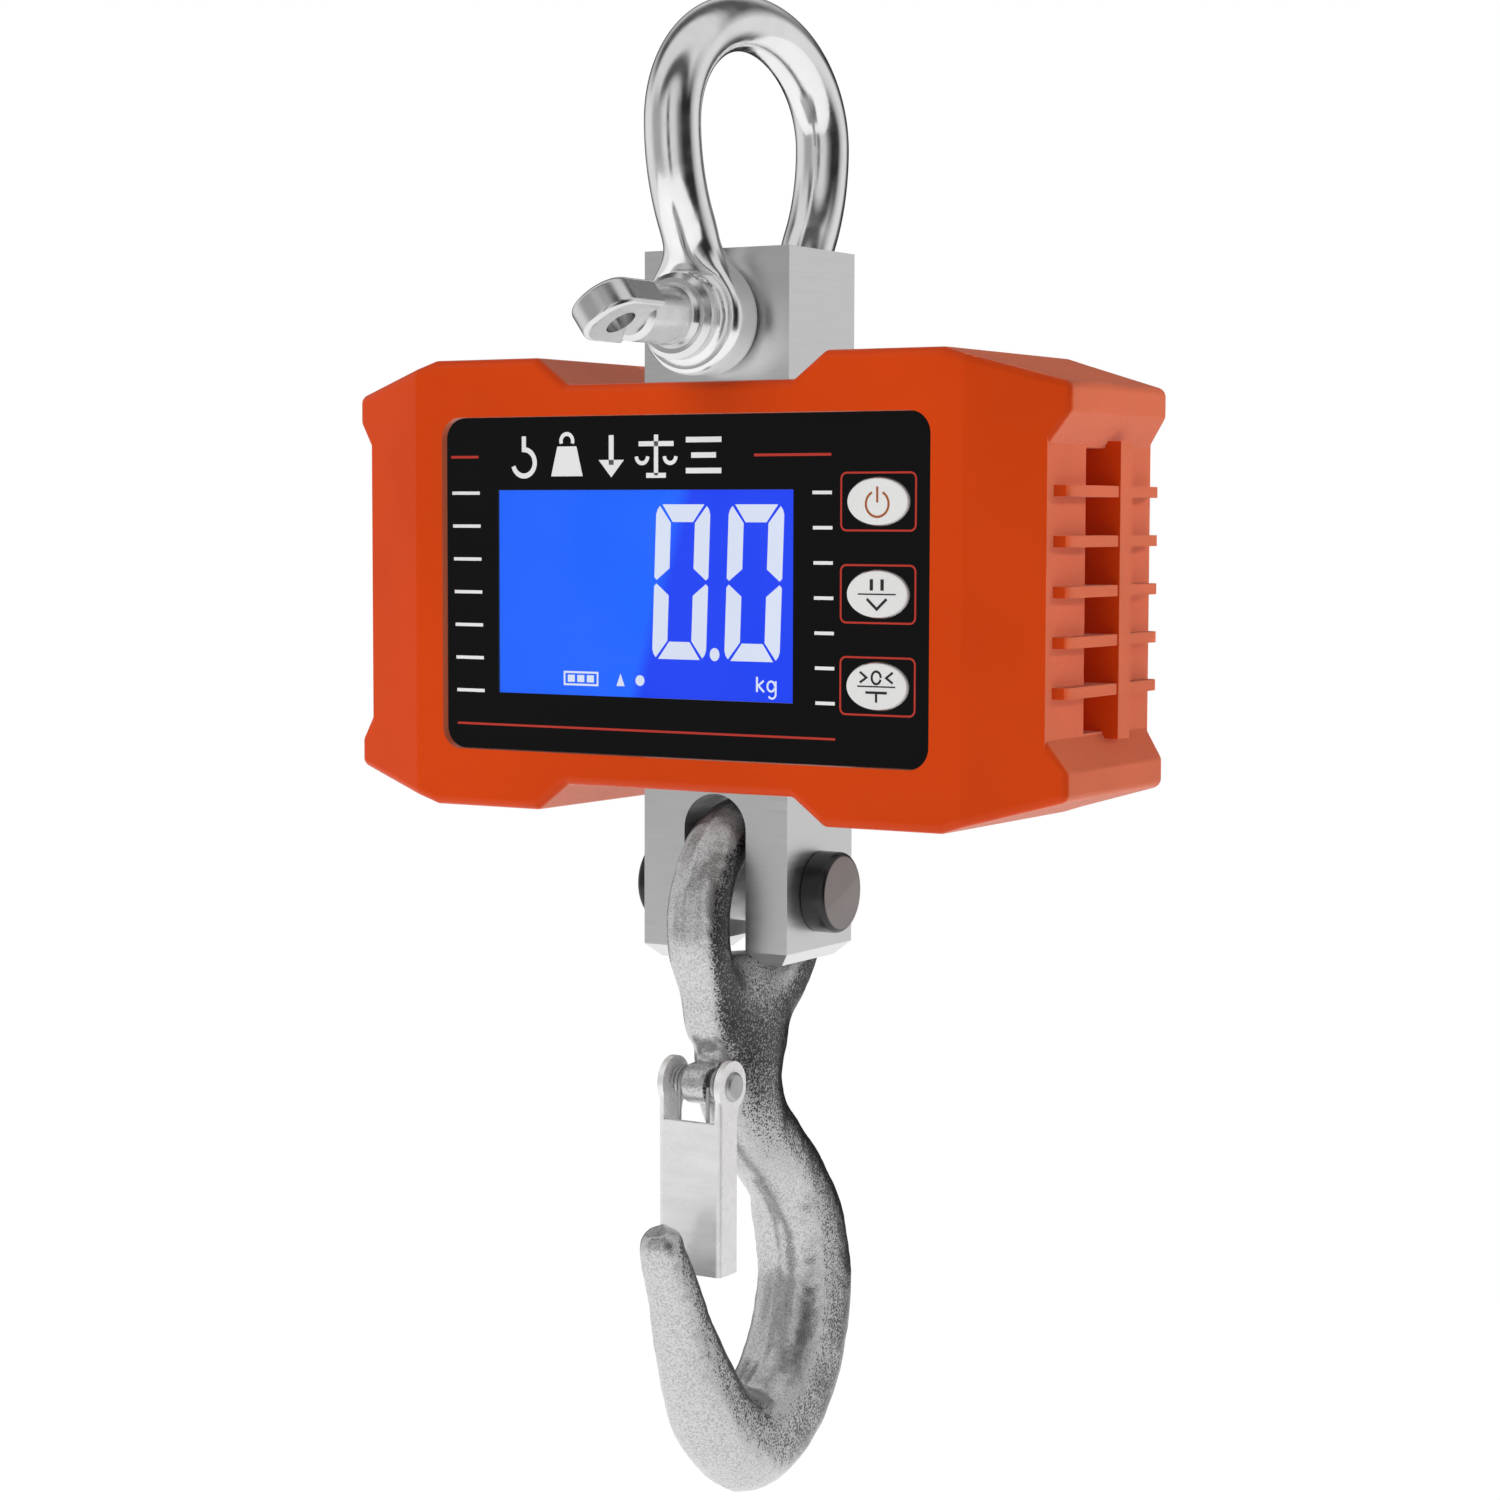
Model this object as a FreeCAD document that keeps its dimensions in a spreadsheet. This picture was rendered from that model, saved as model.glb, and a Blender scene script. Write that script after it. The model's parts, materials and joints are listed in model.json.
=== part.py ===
import FreeCAD, Part
import math
import os
import Sketcher

# Hanging crane scale: a shackle, a load cell block inside a two-part case, and an eye hook
# with a safety latch. Millimetres, +Z up, the display faces -Y. The origin is the point on
# the inside of the shackle bow where the scale hangs.

Vector = FreeCAD.Vector
Rotation = FreeCAD.Rotation

# Driving dimensions: name, value, meaning.
DIMENSIONS = (
    ("bow_rod", 12.5, "bow: rod diameter"),
    ("bow_reach", 33.0, "bow: half width of the crown centreline along Y"),
    ("bow_rise", 25.0, "bow: height of the crown ellipse"),
    ("pin_drop", 61.0, "shackle pin axis below the hanging point"),
    ("ear_centre", 21.8, "ear: centre plane along Y"),
    ("ear_width", 12.6, "ear: thickness"),
    ("ear_radius", 12.75, "ear: outer radius"),
    ("ear_ring", 0.6, "ear: height of the turned ring on the outer face"),
    ("shackle_pin_size", 12.8, "shackle pin: shank diameter"),
    ("shackle_hole", 13.4, "hole for the shackle pin"),
    ("collar_size", 19.0, "shackle pin: collar diameter"),
    ("collar_width", 4.4, "shackle pin: collar width"),
    ("tab_tip", 65.5, "shackle pin: eye tab tip, distance to the front"),
    ("tab_heel", 47.5, "shackle pin: eye tab heel, distance to the front"),
    ("tab_half", 7.3, "shackle pin: eye tab half width"),
    ("tab_end", 6.9, "shackle pin: corner radius of the tab tip"),
    ("tab_thickness", 7.0, "shackle pin: eye tab thickness"),
    ("tab_hole", 7.0, "shackle pin: eye tab hole"),
    ("tab_hole_at", 56.5, "shackle pin: eye tab hole centre, distance to the front"),
    ("tab_round", 1.2, "shackle pin: rounding of the tab rim"),
    ("pin_tail", 1.6, "shackle pin: length past the rear ear"),
    ("pin_bead", 1.2, "shackle pin: bevel of the tail and of the collar"),
    ("neck_end", 50.5, "shackle pin: end of the round neck, distance to the front"),
    ("neck_flare", 0.8, "shackle pin: flare of the neck at the collar"),
    ("neck_run", 2.0, "shackle pin: length of the flare"),
    ("block_width", 38.0, "load cell: width along X"),
    ("block_depth", 29.6, "load cell: depth along Y"),
    ("block_top", 45.0, "load cell: top below the hanging point"),
    ("block_bottom", 206.0, "load cell: bottom below the hanging point"),
    ("fork_slot", 16.3, "load cell: width of the fork slot"),
    ("slot_top", 167.5, "load cell: top of the fork slot"),
    ("leg_chamfer", 3.0, "load cell: chamfer at the foot of each fork leg"),
    ("gauge_bore", 13.0, "load cell: bore of the gauge window"),
    ("gauge_gap", 17.0, "load cell: distance between the two gauge bores"),
    ("gauge_wire_bore", 3.0, "load cell: bore for the gauge cable"),
    ("cell_tap", 4.0, "load cell: diameter of the tapped holes"),
    ("cell_tap_depth", 9.0, "load cell: depth of the tapped holes"),
    ("cover_half", 11.0, "gauge cover: half width"),
    ("cover_tall", 18.5, "gauge cover: half height"),
    ("cover_thickness", 0.8, "gauge cover: thickness"),
    ("cover_corner", 2.0, "gauge cover: corner radius"),
    ("hook_pin_drop", 190.0, "hook pin axis below the hanging point"),
    ("hook_pin_size", 16.0, "hook pin: diameter"),
    ("snug", 0.1, "extra diameter of a hole that holds its own pin or screw"),
    ("cap_size", 18.5, "pin cap: diameter"),
    ("cap_height", 6.0, "pin cap: height"),
    ("cap_spigot", 8.0, "pin cap: spigot diameter"),
    ("spigot_length", 4.5, "pin cap: spigot length"),
    ("spigot_bore", 5.0, "hook pin: depth of the bore for a cap"),
    ("cap_bevel", 0.8, "pin cap: edge bevel"),
    ("case_middle", 120.5, "case: middle below the hanging point"),
    ("case_front", 32.0, "case: front face"),
    ("case_back", 31.5, "case: rear face"),
    ("case_half", 92.6, "case: half width"),
    ("ridge", 71.0, "case: half width of the flat face between the bevels"),
    ("bevel_front", 25.2, "case: front bevel edge at the side"),
    ("bevel_back", 24.5, "case: rear bevel edge at the side"),
    ("lip", 51.3, "case: half height of the raised shoulders"),
    ("lip_end", 66.0, "case: outer end of the raised shoulder"),
    ("shoulder", 49.7, "case: half height at the ridge"),
    ("corner", 43.7, "case: half height at the side"),
    ("notch", 45.2, "case: half height at the middle notch"),
    ("notch_half", 29.5, "case: half width of the notch floor"),
    ("ramp_end", 37.5, "case: half width at the top of the notch ramp"),
    ("parting", 5.0, "case: parting plane"),
    ("wall", 2.5, "case: wall thickness"),
    ("case_round", 2.2, "case: edge rounding"),
    ("lobe_round", 1.6, "case side: rounding of the lobes beside the recess"),
    ("way_gap", 2.5, "case: space round the load cell, filled by the seals"),
    ("room_ease", 0.5, "case: how far the inner ridge stands inside the outer one"),
    ("room_corner", 0.7, "case: how far the inner corner stands inside the outer one"),
    ("room_slope", 3.2, "case: depth of the inner front bevel"),
    ("room_back", 0.3, "case: how far the inner rear bevel stands inside the outer one"),
    ("rib_root", 1.0, "case side: how deep the ribs are rooted in the wall"),
    ("bury", 0.5, "case: how deep a post or fin is rooted in its wall"),
    ("side_floor", 88.0, "case side: recess floor"),
    ("recess_half", 31.0, "case side: half height of the recess floor"),
    ("recess_end", 37.7, "case side: half height where the recess meets the lobe"),
    ("pocket_floor", 80.0, "case side: deep pocket floor"),
    ("pocket_front", 7.7, "case side: pocket front wall"),
    ("pocket_back", 2.0, "case side: pocket rear wall"),
    ("rib_back", 8.0, "case side: rear of the parting rib"),
    ("rib_out", 91.7, "case side: outer face of the parting rib"),
    ("fin_out", 91.3, "case side: outer edge of a fin"),
    ("fin_thickness", 2.4, "case side: fin thickness"),
    ("fin_pitch", 10.6, "case side: fin spacing"),
    ("fin_nose", 4.0, "fin: setback of the front end at the pocket floor"),
    ("fin_lip", 1.6, "fin: setback of the front end at the recess floor"),
    ("fin_shoulder", 2.6, "fin: setback of the front end near its outer edge"),
    ("fin_tip", 5.0, "fin: setback where the front end meets the outer edge"),
    ("fin_bevel", 0.9, "fin: bevel of the front end"),
    ("fin_rear", 2.0, "fin: length of the rear bevel"),
    ("fin_rear_bevel", 1.5, "fin: depth of the rear bevel"),
    ("fin_gap", 0.4, "fin: setback of the rear end"),
    ("gasket_width", 1.2, "parting seal: width across the parting line"),
    ("seal_tall", 1.9, "block seal: half height"),
    ("panel_half", 63.5, "front panel: half width"),
    ("panel_high", 38.1, "front panel: top above the case middle"),
    ("panel_low", 38.0, "front panel: bottom below the case middle"),
    ("panel_face", 30.2, "front panel: front surface"),
    ("panel_thickness", 1.0, "front panel: thickness"),
    ("panel_corner", 5.0, "front panel: corner radius"),
    ("panel_gap", 0.15, "front panel: gap round the edge"),
    ("screen_left", 49.0, "display window: left edge"),
    ("screen_right", 29.2, "display window: right edge"),
    ("screen_high", 21.5, "display window: top above the case middle"),
    ("screen_low", 24.8, "display window: bottom below the case middle"),
    ("screen_ledge", 1.0, "display window: ledge that carries it"),
    ("lcd_gap", 0.4, "display: gap behind the window"),
    ("lcd_thickness", 2.8, "display: glass thickness"),
    ("lcd_inset", 1.2, "display: glass edge inside the window's edge"),
    ("light_side", 1.5, "display: light box beyond the window's side"),
    ("light_end", 2.0, "display: light box beyond the window's top and bottom"),
    ("button_x", 50.2, "buttons: distance from the middle"),
    ("button_pitch", 19.7, "buttons: spacing"),
    ("button_top", 18.9, "top button above the case middle"),
    ("button_long", 14.8, "buttons: long diameter"),
    ("button_short", 10.0, "buttons: short diameter"),
    ("button_proud", 0.6, "buttons: height above the panel"),
    ("button_gap", 0.25, "buttons: gap in the panel"),
    ("flange_out", 1.2, "buttons: keeper flange beyond the cap"),
    ("flange_thickness", 1.0, "buttons: keeper flange thickness"),
    ("flange_gap", 0.05, "buttons: gap between the flange and the wall"),
    ("stem_radius", 2.0, "buttons: stem radius"),
    ("stem_gap", 4.7, "buttons: stem end in front of the board"),
    ("switch_half", 3.0, "switch: half width"),
    ("switch_height", 3.4, "switch: height of its body"),
    ("plunger_height", 0.6, "switch: height of its plunger"),
    ("plunger_radius", 1.7, "switch: plunger radius"),
    ("board_front", 20.0, "circuit board: front face"),
    ("board_thickness", 1.6, "circuit board: thickness"),
    ("board_half", 62.0, "circuit board: half width"),
    ("board_tall", 36.0, "circuit board: half height"),
    ("board_screw_x", 57.5, "circuit board: screw distance from the middle"),
    ("board_screw_z", 32.0, "circuit board: screw height from the middle"),
    ("board_hole", 2.6, "circuit board: screw hole"),
    ("board_corner", 2.0, "circuit board: corner radius"),
    ("post_radius", 2.8, "board post: radius"),
    ("post_pilot", 2.2, "board post: screw hole"),
    ("post_pilot_depth", 5.0, "board post: depth of the screw hole"),
    ("socket_half", 4.0, "wiring socket: half width"),
    ("socket_tall", 3.0, "wiring socket: half height"),
    ("socket_depth", 5.0, "wiring socket: depth"),
    ("gauge_socket", 34.0, "wiring socket of the gauges: distance from the middle"),
    ("battery_socket", 49.0, "wiring socket of the battery: distance from the middle"),
    ("cable_bend", 9.0, "gauge cable: bend radius"),
    ("cable_size", 2.5, "gauge cable: diameter"),
    ("lead_size", 1.6, "battery lead: diameter"),
    ("lead_half", 1.4, "battery leads: half spacing"),
    ("boss_x", 62.0, "case screws: distance from the middle"),
    ("boss_z", 43.6, "case screws: height from the middle"),
    ("boss_radius", 4.2, "front case boss: radius"),
    ("boss_pilot", 3.4, "front case boss: screw hole"),
    ("boss_pilot_depth", 12.0, "front case boss: screw hole depth before the origin plane"),
    ("rear_boss_radius", 4.6, "rear case boss: radius"),
    ("rear_boss_way", 3.9, "rear case boss: clearance hole"),
    ("rear_sink", 6.8, "rear case boss: head bore"),
    ("rear_sink_depth", 16.0, "rear case boss: depth of the head bore"),
    ("cell_screw_x", 10.0, "block screws: distance from the middle"),
    ("cell_screw_z", 30.0, "block screws: height from the middle"),
    ("foot_radius", 5.4, "block foot: radius"),
    ("foot_way", 4.4, "block foot: clearance hole"),
    ("foot_sink", 8.0, "block foot: head bore"),
    ("foot_sink_depth", 5.0, "block foot: depth of the head bore"),
    ("door_left", 30.0, "battery door: inner edge"),
    ("door_right", 68.0, "battery door: outer edge"),
    ("door_half", 37.0, "battery door: half height"),
    ("door_thickness", 2.2, "battery door: thickness"),
    ("door_gap", 0.2, "battery door: gap round the edge"),
    ("door_frame", 2.5, "battery door: width of the frame round it"),
    ("door_frame_depth", 3.0, "battery door: depth of the frame"),
    ("door_ledge", 1.6, "battery door: side ledge"),
    ("door_end_ledge", 8.0, "battery door: end ledge"),
    ("door_screw_in", 4.0, "battery door: screw distance from the end"),
    ("door_pilot", 2.4, "battery door: screw hole in the frame"),
    ("door_way", 2.8, "battery door: clearance hole"),
    ("door_sink", 5.2, "battery door: head sink"),
    ("door_sink_depth", 1.4, "battery door: depth of the head sink"),
    ("grip_pitch", 3.0, "battery door: spacing of the finger grooves"),
    ("grip_half", 10.0, "battery door: half length of a finger groove"),
    ("grip_width", 1.2, "battery door: width of a finger groove"),
    ("grip_depth", 0.7, "battery door: depth of a finger groove"),
    ("cell_size", 18.4, "battery cell: diameter"),
    ("cell_length", 65.0, "battery cell: length"),
    ("cell_pitch", 19.0, "battery cell: spacing"),
    ("cell_y", 16.6, "battery cell: axis"),
    ("cell_ease", 0.1, "battery tray: radial room round a cell"),
    ("tray_wall", 1.6, "battery tray: wall in front of the cells"),
    ("tray_side", 1.2, "battery tray: side beyond the door's edge"),
    ("tray_end", 2.5, "battery tray: end wall"),
    ("tray_rise", 6.0, "battery tray: rim behind the cell axis"),
    ("cell_button", 6.4, "battery cell: contact button diameter"),
    ("cell_button_height", 1.5, "battery cell: contact button height"),
    ("eye_drop", 197.05, "hook eye: centre below the hanging point"),
    ("eye_inner", 15.35, "hook eye: inner radius"),
    ("eye_outer", 28.55, "hook eye: outer radius"),
    ("eye_thickness", 14.0, "hook eye: thickness along X"),
    ("latch_y", 20.3, "latch: pivot, distance to the front"),
    ("latch_drop", 233.0, "latch: pivot below the hanging point"),
    ("latch_width", 16.5, "latch: width"),
    ("latch_sheet", 1.5, "latch: sheet thickness"),
    ("latch_face", 25.7, "latch: outer face"),
    ("latch_back", 18.4, "latch: rear edge of the flanges"),
    ("latch_shoulder", 241.0, "latch: top of the face plate"),
    ("latch_end", 275.8, "latch: lower end"),
    ("latch_ear", 5.8, "latch: radius round the pivot"),
    ("latch_pin_size", 4.0, "latch pin: diameter"),
    ("latch_bend", 1.2, "latch: bend radius"),
    ("latch_cheek_front", 5.2, "latch: cheek in front of the pivot"),
    ("latch_cheek_back", 4.2, "latch: cheek behind the pivot"),
    ("latch_head", 1.4, "latch pin: head radius beyond the shank"),
    ("latch_head_height", 1.1, "latch pin: head height"),
    ("latch_head_bevel", 0.6, "latch pin: head bevel"),
    ("lug_half", 3.1, "hook lug: half thickness"),
    ("lug_radius", 4.6, "hook lug: radius round the latch pin"),
    ("lug_root", 12.0, "hook lug: depth of its web"),
    ("spring_wire", 0.9, "latch spring: wire diameter"),
    ("spring_radius", 3.4, "latch spring: mean coil radius"),
    ("spring_start", 3.75, "latch spring: start beyond the middle of the lug"),
    ("spring_leg", 17.0, "latch spring: leg length"),
    ("spring_pitch", 1.12, "latch spring: pitch in wire diameters"),
)

# Hook shank from the eye to the tip: centre (y, z), half width in the plane of the hook,
# half thickness along X. The width is measured square to the run of the shank.
HOOK_STATIONS = (
    (-2.6, -213.0, 20.5, 5.6),
    (-3.0, -216.5, 22.4, 6.9),
    (-3.4, -220.5, 19.6, 7.5),
    (-3.4, -225.5, 16.4, 8.0),
    (-3.9, -230.0, 14.4, 8.4),
    (-3.6, -236.5, 12.2, 8.7),
    (0.6, -244.8, 10.6, 8.6),
    (8.6, -252.6, 10.0, 8.4),
    (17.4, -261.4, 10.6, 8.6),
    (24.4, -272.8, 12.3, 9.0),
    (27.5, -287.0, 14.2, 9.2),
    (24.5, -302.0, 15.0, 9.5),
    (15.0, -314.6, 14.2, 9.8),
    (0.0, -320.2, 12.2, 9.8),
    (-14.5, -312.5, 10.0, 9.0),
    (-23.5, -299.5, 8.1, 7.8),
    (-29.3, -287.0, 6.5, 6.5),
    (-33.4, -276.5, 5.2, 5.3),
    (-37.9, -267.4, 4.6, 4.7),
)
LEVEL_STATIONS = 4  # the first sections lie level; the others lean with the run of the shank
SECTION_POINTS = 16
FIN_STEPS = (-2, -1, 0, 1, 2)
GRIP_STEPS = (-2, -1, 0, 1, 2)
BUTTON_COUNT = 3
PAST = 5.0  # how far a cutting tool runs past the face that it opens
NEAR = 0.05  # how far off its place an edge may lie and still be picked
SIDES = (-1, 1)
QUARTER_TURN = 90.0
FULL_TURN = 360.0
QUARTERS = 4
TAB_TILT = -35.0
SPRING_TURNS = 2
FACET_TOLERANCE = 0.1
VOLUME_TOLERANCE = 0.04


# Screws: head diameter, head length, shank diameter, shank length.
SHELL_SCREW = (6.2, 2.4, 3.4, 20.0)
CELL_SCREW = (7.4, 2.8, 4.0, 19.0)
BOARD_SCREW = (4.4, 1.6, 2.2, 6.0)
DOOR_SCREW = (4.8, 1.2, 2.4, 3.4)

# Cross recess of a screw: depth in head lengths, reach and half width in head diameters.
SLOT_DEPTH = 0.6
SLOT_REACH = 0.32
SLOT_HALF = 0.07

DOC = FreeCAD.newDocument("crane_scale")
NODES = []


class Size:
    """A length with the spreadsheet expression that it comes from."""

    def __init__(self, value, text):
        self.value = float(value)
        self.text = text

    def __add__(self, other):
        other = size(other)
        return Size(self.value + other.value, "(%s + %s)" % (self.text, other.text))

    def __sub__(self, other):
        other = size(other)
        return Size(self.value - other.value, "(%s - %s)" % (self.text, other.text))

    def __mul__(self, factor):
        return Size(self.value * factor, "(%s * %r)" % (self.text, factor))

    def __truediv__(self, factor):
        return Size(self.value / factor, "(%s / %r)" % (self.text, factor))

    def __neg__(self):
        return self * -1

    def __radd__(self, other):
        return size(other) + self

    def __rsub__(self, other):
        return size(other) - self


def size(number):
    """Any number as a Size."""
    if isinstance(number, Size):
        return number
    return Size(number, repr(float(number)))


class Dimensions:
    """The spreadsheet of driving dimensions, each one an attribute."""

    def __init__(self):
        sheet = DOC.addObject("Spreadsheet::Sheet", "Dimensions")
        for row, (name, value, meaning) in enumerate(DIMENSIONS, 1):
            sheet.set("A%d" % row, meaning)
            sheet.set("B%d" % row, str(value))
            sheet.setAlias("B%d" % row, name)
            setattr(self, name, Size(value, "Dimensions." + name))


dim = Dimensions()
DOC.recompute()


# ---- helpers: bound primitives -------------------------------------------------------

def bind(item, name, length):
    """Drive one property of an object by a sheet expression."""
    item.setExpression(name, size(length).text)


def place(item, point, turn=Rotation()):
    """Put an object at a bound point."""
    item.Placement = FreeCAD.Placement(Vector(), turn)
    for axis, coordinate in zip("xyz", point):
        bind(item, "Placement.Base." + axis, coordinate)
    return item


def turn_to(axis):
    """The rotation that lays the Z axis along the named axis."""
    if axis == "x":
        return Rotation(Vector(0, 1, 0), QUARTER_TURN)
    if axis == "y":
        return Rotation(Vector(1, 0, 0), -QUARTER_TURN)
    return Rotation()


def box(name, low, high):
    """A block between two opposite corners."""
    item = DOC.addObject("Part::Box", name)
    for side, start, end in zip(("Length", "Width", "Height"), low, high):
        bind(item, side, size(end) - start)
    return place(item, low)


def rod(name, axis, start, length, radius):
    """A round bar along an axis."""
    item = DOC.addObject("Part::Cylinder", name)
    bind(item, "Radius", radius)
    bind(item, "Height", length)
    return place(item, start, turn_to(axis))


def oval(name, centre, length, long_radius, short_radius):
    """An oval bar along +Y, its long axis along X."""
    ring = DOC.addObject("Part::Ellipse", name + "_rim")
    bind(ring, "MajorRadius", long_radius)
    bind(ring, "MinorRadius", short_radius)
    place(ring, centre, Rotation(Vector(1, 0, 0), QUARTER_TURN))
    return extrude(name, ring, Vector(0, 1, 0), length)


def extrude(name, profile, direction, length, both=False):
    """A solid made by moving a closed profile along a direction."""
    item = DOC.addObject("Part::Extrusion", name)
    item.Base = profile
    item.DirMode = "Custom"
    item.Dir = direction
    item.Solid = True
    item.Symmetric = both
    bind(item, "LengthFwd", length)
    return item


def fuse(name, items):
    item = DOC.addObject("Part::MultiFuse", name)
    item.Shapes = items
    item.Refine = True
    return item


def cut(name, base, tools):
    """The base with one tool or a list of tools removed."""
    item = DOC.addObject("Part::Cut", name)
    item.Base = base
    item.Tool = tools if not isinstance(tools, list) else fuse(name + "_tools", tools)
    item.Refine = True
    return item


def common(name, items):
    item = DOC.addObject("Part::MultiCommon", name)
    item.Shapes = items
    return item


def node(label, item):
    """Name one finished sub-part."""
    item.Label = label
    NODES.append(item)
    return item


def feature(label, shape):
    """A sub-part whose shape is worked out here."""
    item = DOC.addObject("Part::Feature", label)
    item.Shape = shape
    item.Placement = FreeCAD.Placement()
    return node(label, item)


# ---- helpers: sketches and bodies ----------------------------------------------------

def body(label):
    item = DOC.addObject("PartDesign::Body", label)
    item.AllowCompound = True
    return node(label, item)


def sketch(owner, role, offset=0.0):
    """A sketch on an origin plane of its body, moved along the plane's normal."""
    item = owner.newObject("Sketcher::SketchObject", owner.Name + "_sketch")
    plane = next(p for p in owner.Origin.OriginFeatures if p.Role == role)
    item.AttachmentSupport = [(plane, "")]
    item.MapMode = "FlatFace"
    bind(item, "AttachmentOffset.Base.z", offset)
    return item


def hold(item, kind, geometry, corner, length):
    """Hold one point of a sketch at a bound distance from an axis."""
    length = size(length)
    if length.value == 0.0:
        axis = -2 if kind == "DistanceX" else -1
        item.addConstraint(Sketcher.Constraint("PointOnObject", geometry, corner, axis))
        return
    row = item.addConstraint(
        Sketcher.Constraint(kind, -1, 1, geometry, corner, length.value))
    item.setExpression("Constraints[%d]" % row, length.text)


def polygon(item, points):
    """Draw a closed outline with every corner driven by the sheet."""
    first = item.GeometryCount
    count = len(points)
    flat = [Vector(size(u).value, size(v).value, 0) for u, v in points]
    for index in range(count):
        item.addGeometry(Part.LineSegment(flat[index], flat[(index + 1) % count]))
    for index in range(count):
        follower = first + (index + 1) % count
        item.addConstraint(Sketcher.Constraint("Coincident", first + index, 2, follower, 1))
    for index, (u, v) in enumerate(points):
        hold(item, "DistanceX", first + index, 1, u)
        hold(item, "DistanceY", first + index, 1, v)
    return item


def rectangle(item, left, right, low, high):
    return polygon(item, ((left, low), (right, low), (right, high), (left, high)))


def circle(item, u, v, diameter):
    """Draw a circle with its centre and diameter driven by the sheet."""
    centre = Vector(size(u).value, size(v).value, 0)
    radius = size(diameter) / 2.0
    row = item.addGeometry(Part.Circle(centre, Vector(0, 0, 1), radius.value))
    hold(item, "DistanceX", row, 3, u)
    hold(item, "DistanceY", row, 3, v)
    held = item.addConstraint(Sketcher.Constraint("Radius", row, radius.value))
    item.setExpression("Constraints[%d]" % held, radius.text)
    return item


def pad(owner, profile, length, both=False, back=False):
    item = owner.newObject("PartDesign::Pad", profile.Name + "_pad")
    item.Profile = profile
    item.SideType = "Symmetric" if both else "One side"
    item.Reversed = back
    bind(item, "Length", length)
    return item


def pocket(owner, profile, length, both=False, back=False):
    item = owner.newObject("PartDesign::Pocket", profile.Name + "_pocket")
    item.Profile = profile
    item.SideType = "Symmetric" if both else "One side"
    item.Reversed = back
    bind(item, "Length", length)
    return item


def revolve(owner, profile, axis):
    """Turn a half profile about the sketch axis H_Axis or V_Axis."""
    item = owner.newObject("PartDesign::Revolution", profile.Name + "_turned")
    item.Profile = profile
    item.ReferenceAxis = (profile, [axis])
    return item


def dress(owner, kind, name, base, chosen, amount):
    """A fillet or chamfer on the edges of a base feature that a test picks."""
    DOC.recompute()
    names = []
    for index, edge in enumerate(base.Shape.Edges, 1):
        if chosen(edge):
            names.append("Edge%d" % index)
    item = owner.newObject(kind, name)
    item.Base = (base, names)
    bind(item, "Radius" if kind.endswith("Fillet") else "Size", amount)
    return item


def flat_sketch(name, points, turn):
    """A free outline laid in a world plane, for a Part extrusion."""
    item = DOC.addObject("Sketcher::SketchObject", name)
    item.Placement = FreeCAD.Placement(Vector(), turn)
    return polygon(item, points)


FRONT_VIEW = Rotation(Vector(1, 0, 0), QUARTER_TURN)
PLAN_VIEW = Rotation()


# ---- shackle -------------------------------------------------------------------------

def bow_centreline():
    """One half-ellipse crown and a leg of two opposite arcs on each side."""
    reach = dim.bow_reach.value
    top = dim.bow_rod.value / 2
    spring = top - dim.bow_rise.value
    foot = -dim.pin_drop.value
    inset = reach - dim.ear_centre.value
    drop = spring - foot
    radius = (inset ** 2 + drop ** 2) / (4 * inset)
    half = math.asin(drop / 2 / radius) / 2
    lower_mid = (dim.ear_centre.value + radius * (1 - math.cos(half)), foot + radius * math.sin(half))
    upper_mid = (reach - radius * (1 - math.cos(half)), spring - radius * math.sin(half))
    middle = (reach - inset / 2, (spring + foot) / 2)

    def leg(side):
        spot = [Vector(0, side * y, z) for y, z in
                ((dim.ear_centre.value, foot), lower_mid, middle, upper_mid, (reach, spring))]
        return Part.Arc(*spot[0:3]).toShape(), Part.Arc(*spot[2:5]).toShape()

    ring = Part.Ellipse(Vector(0, reach, spring), Vector(0, 0, top), Vector(0, 0, spring))
    crown = Part.ArcOfEllipse(ring, 0, math.pi).toShape()
    right = leg(1)
    left = leg(-1)
    return Part.Wire([right[0], right[1], crown, left[1], left[0]])


def shackle_bow():
    """Round bar bent to a bow, with a drilled ear on each end."""
    path = bow_centreline()
    foot = Vector(0, dim.ear_centre.value, -dim.pin_drop.value)
    section = Part.Wire(Part.makeCircle(dim.bow_rod.value / 2, foot, Vector(0, 0, 1)))
    shape = path.makePipeShell([section], True, True)
    length = dim.ear_width.value
    hole = Part.makeCylinder(dim.shackle_hole.value / 2, dim.bow_reach.value * 3,
                             Vector(0, -dim.bow_reach.value * 1.5, foot.z), Vector(0, 1, 0))
    for side in SIDES:
        inner = Vector(0, side * (foot.y - length / 2), foot.z)
        outward = Vector(0, side, 0)
        ear = Part.makeCylinder(dim.ear_radius.value, length, inner, outward)
        ear = ear.makeChamfer(dim.ear_ring.value, ear.Edges)
        ring = Part.makeCylinder(dim.collar_size.value / 2, length + dim.ear_ring.value, inner, outward)
        shape = shape.fuse([ear, ring])
    feature("shackle_bow", shape.cut(hole).removeSplitter())


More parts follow.
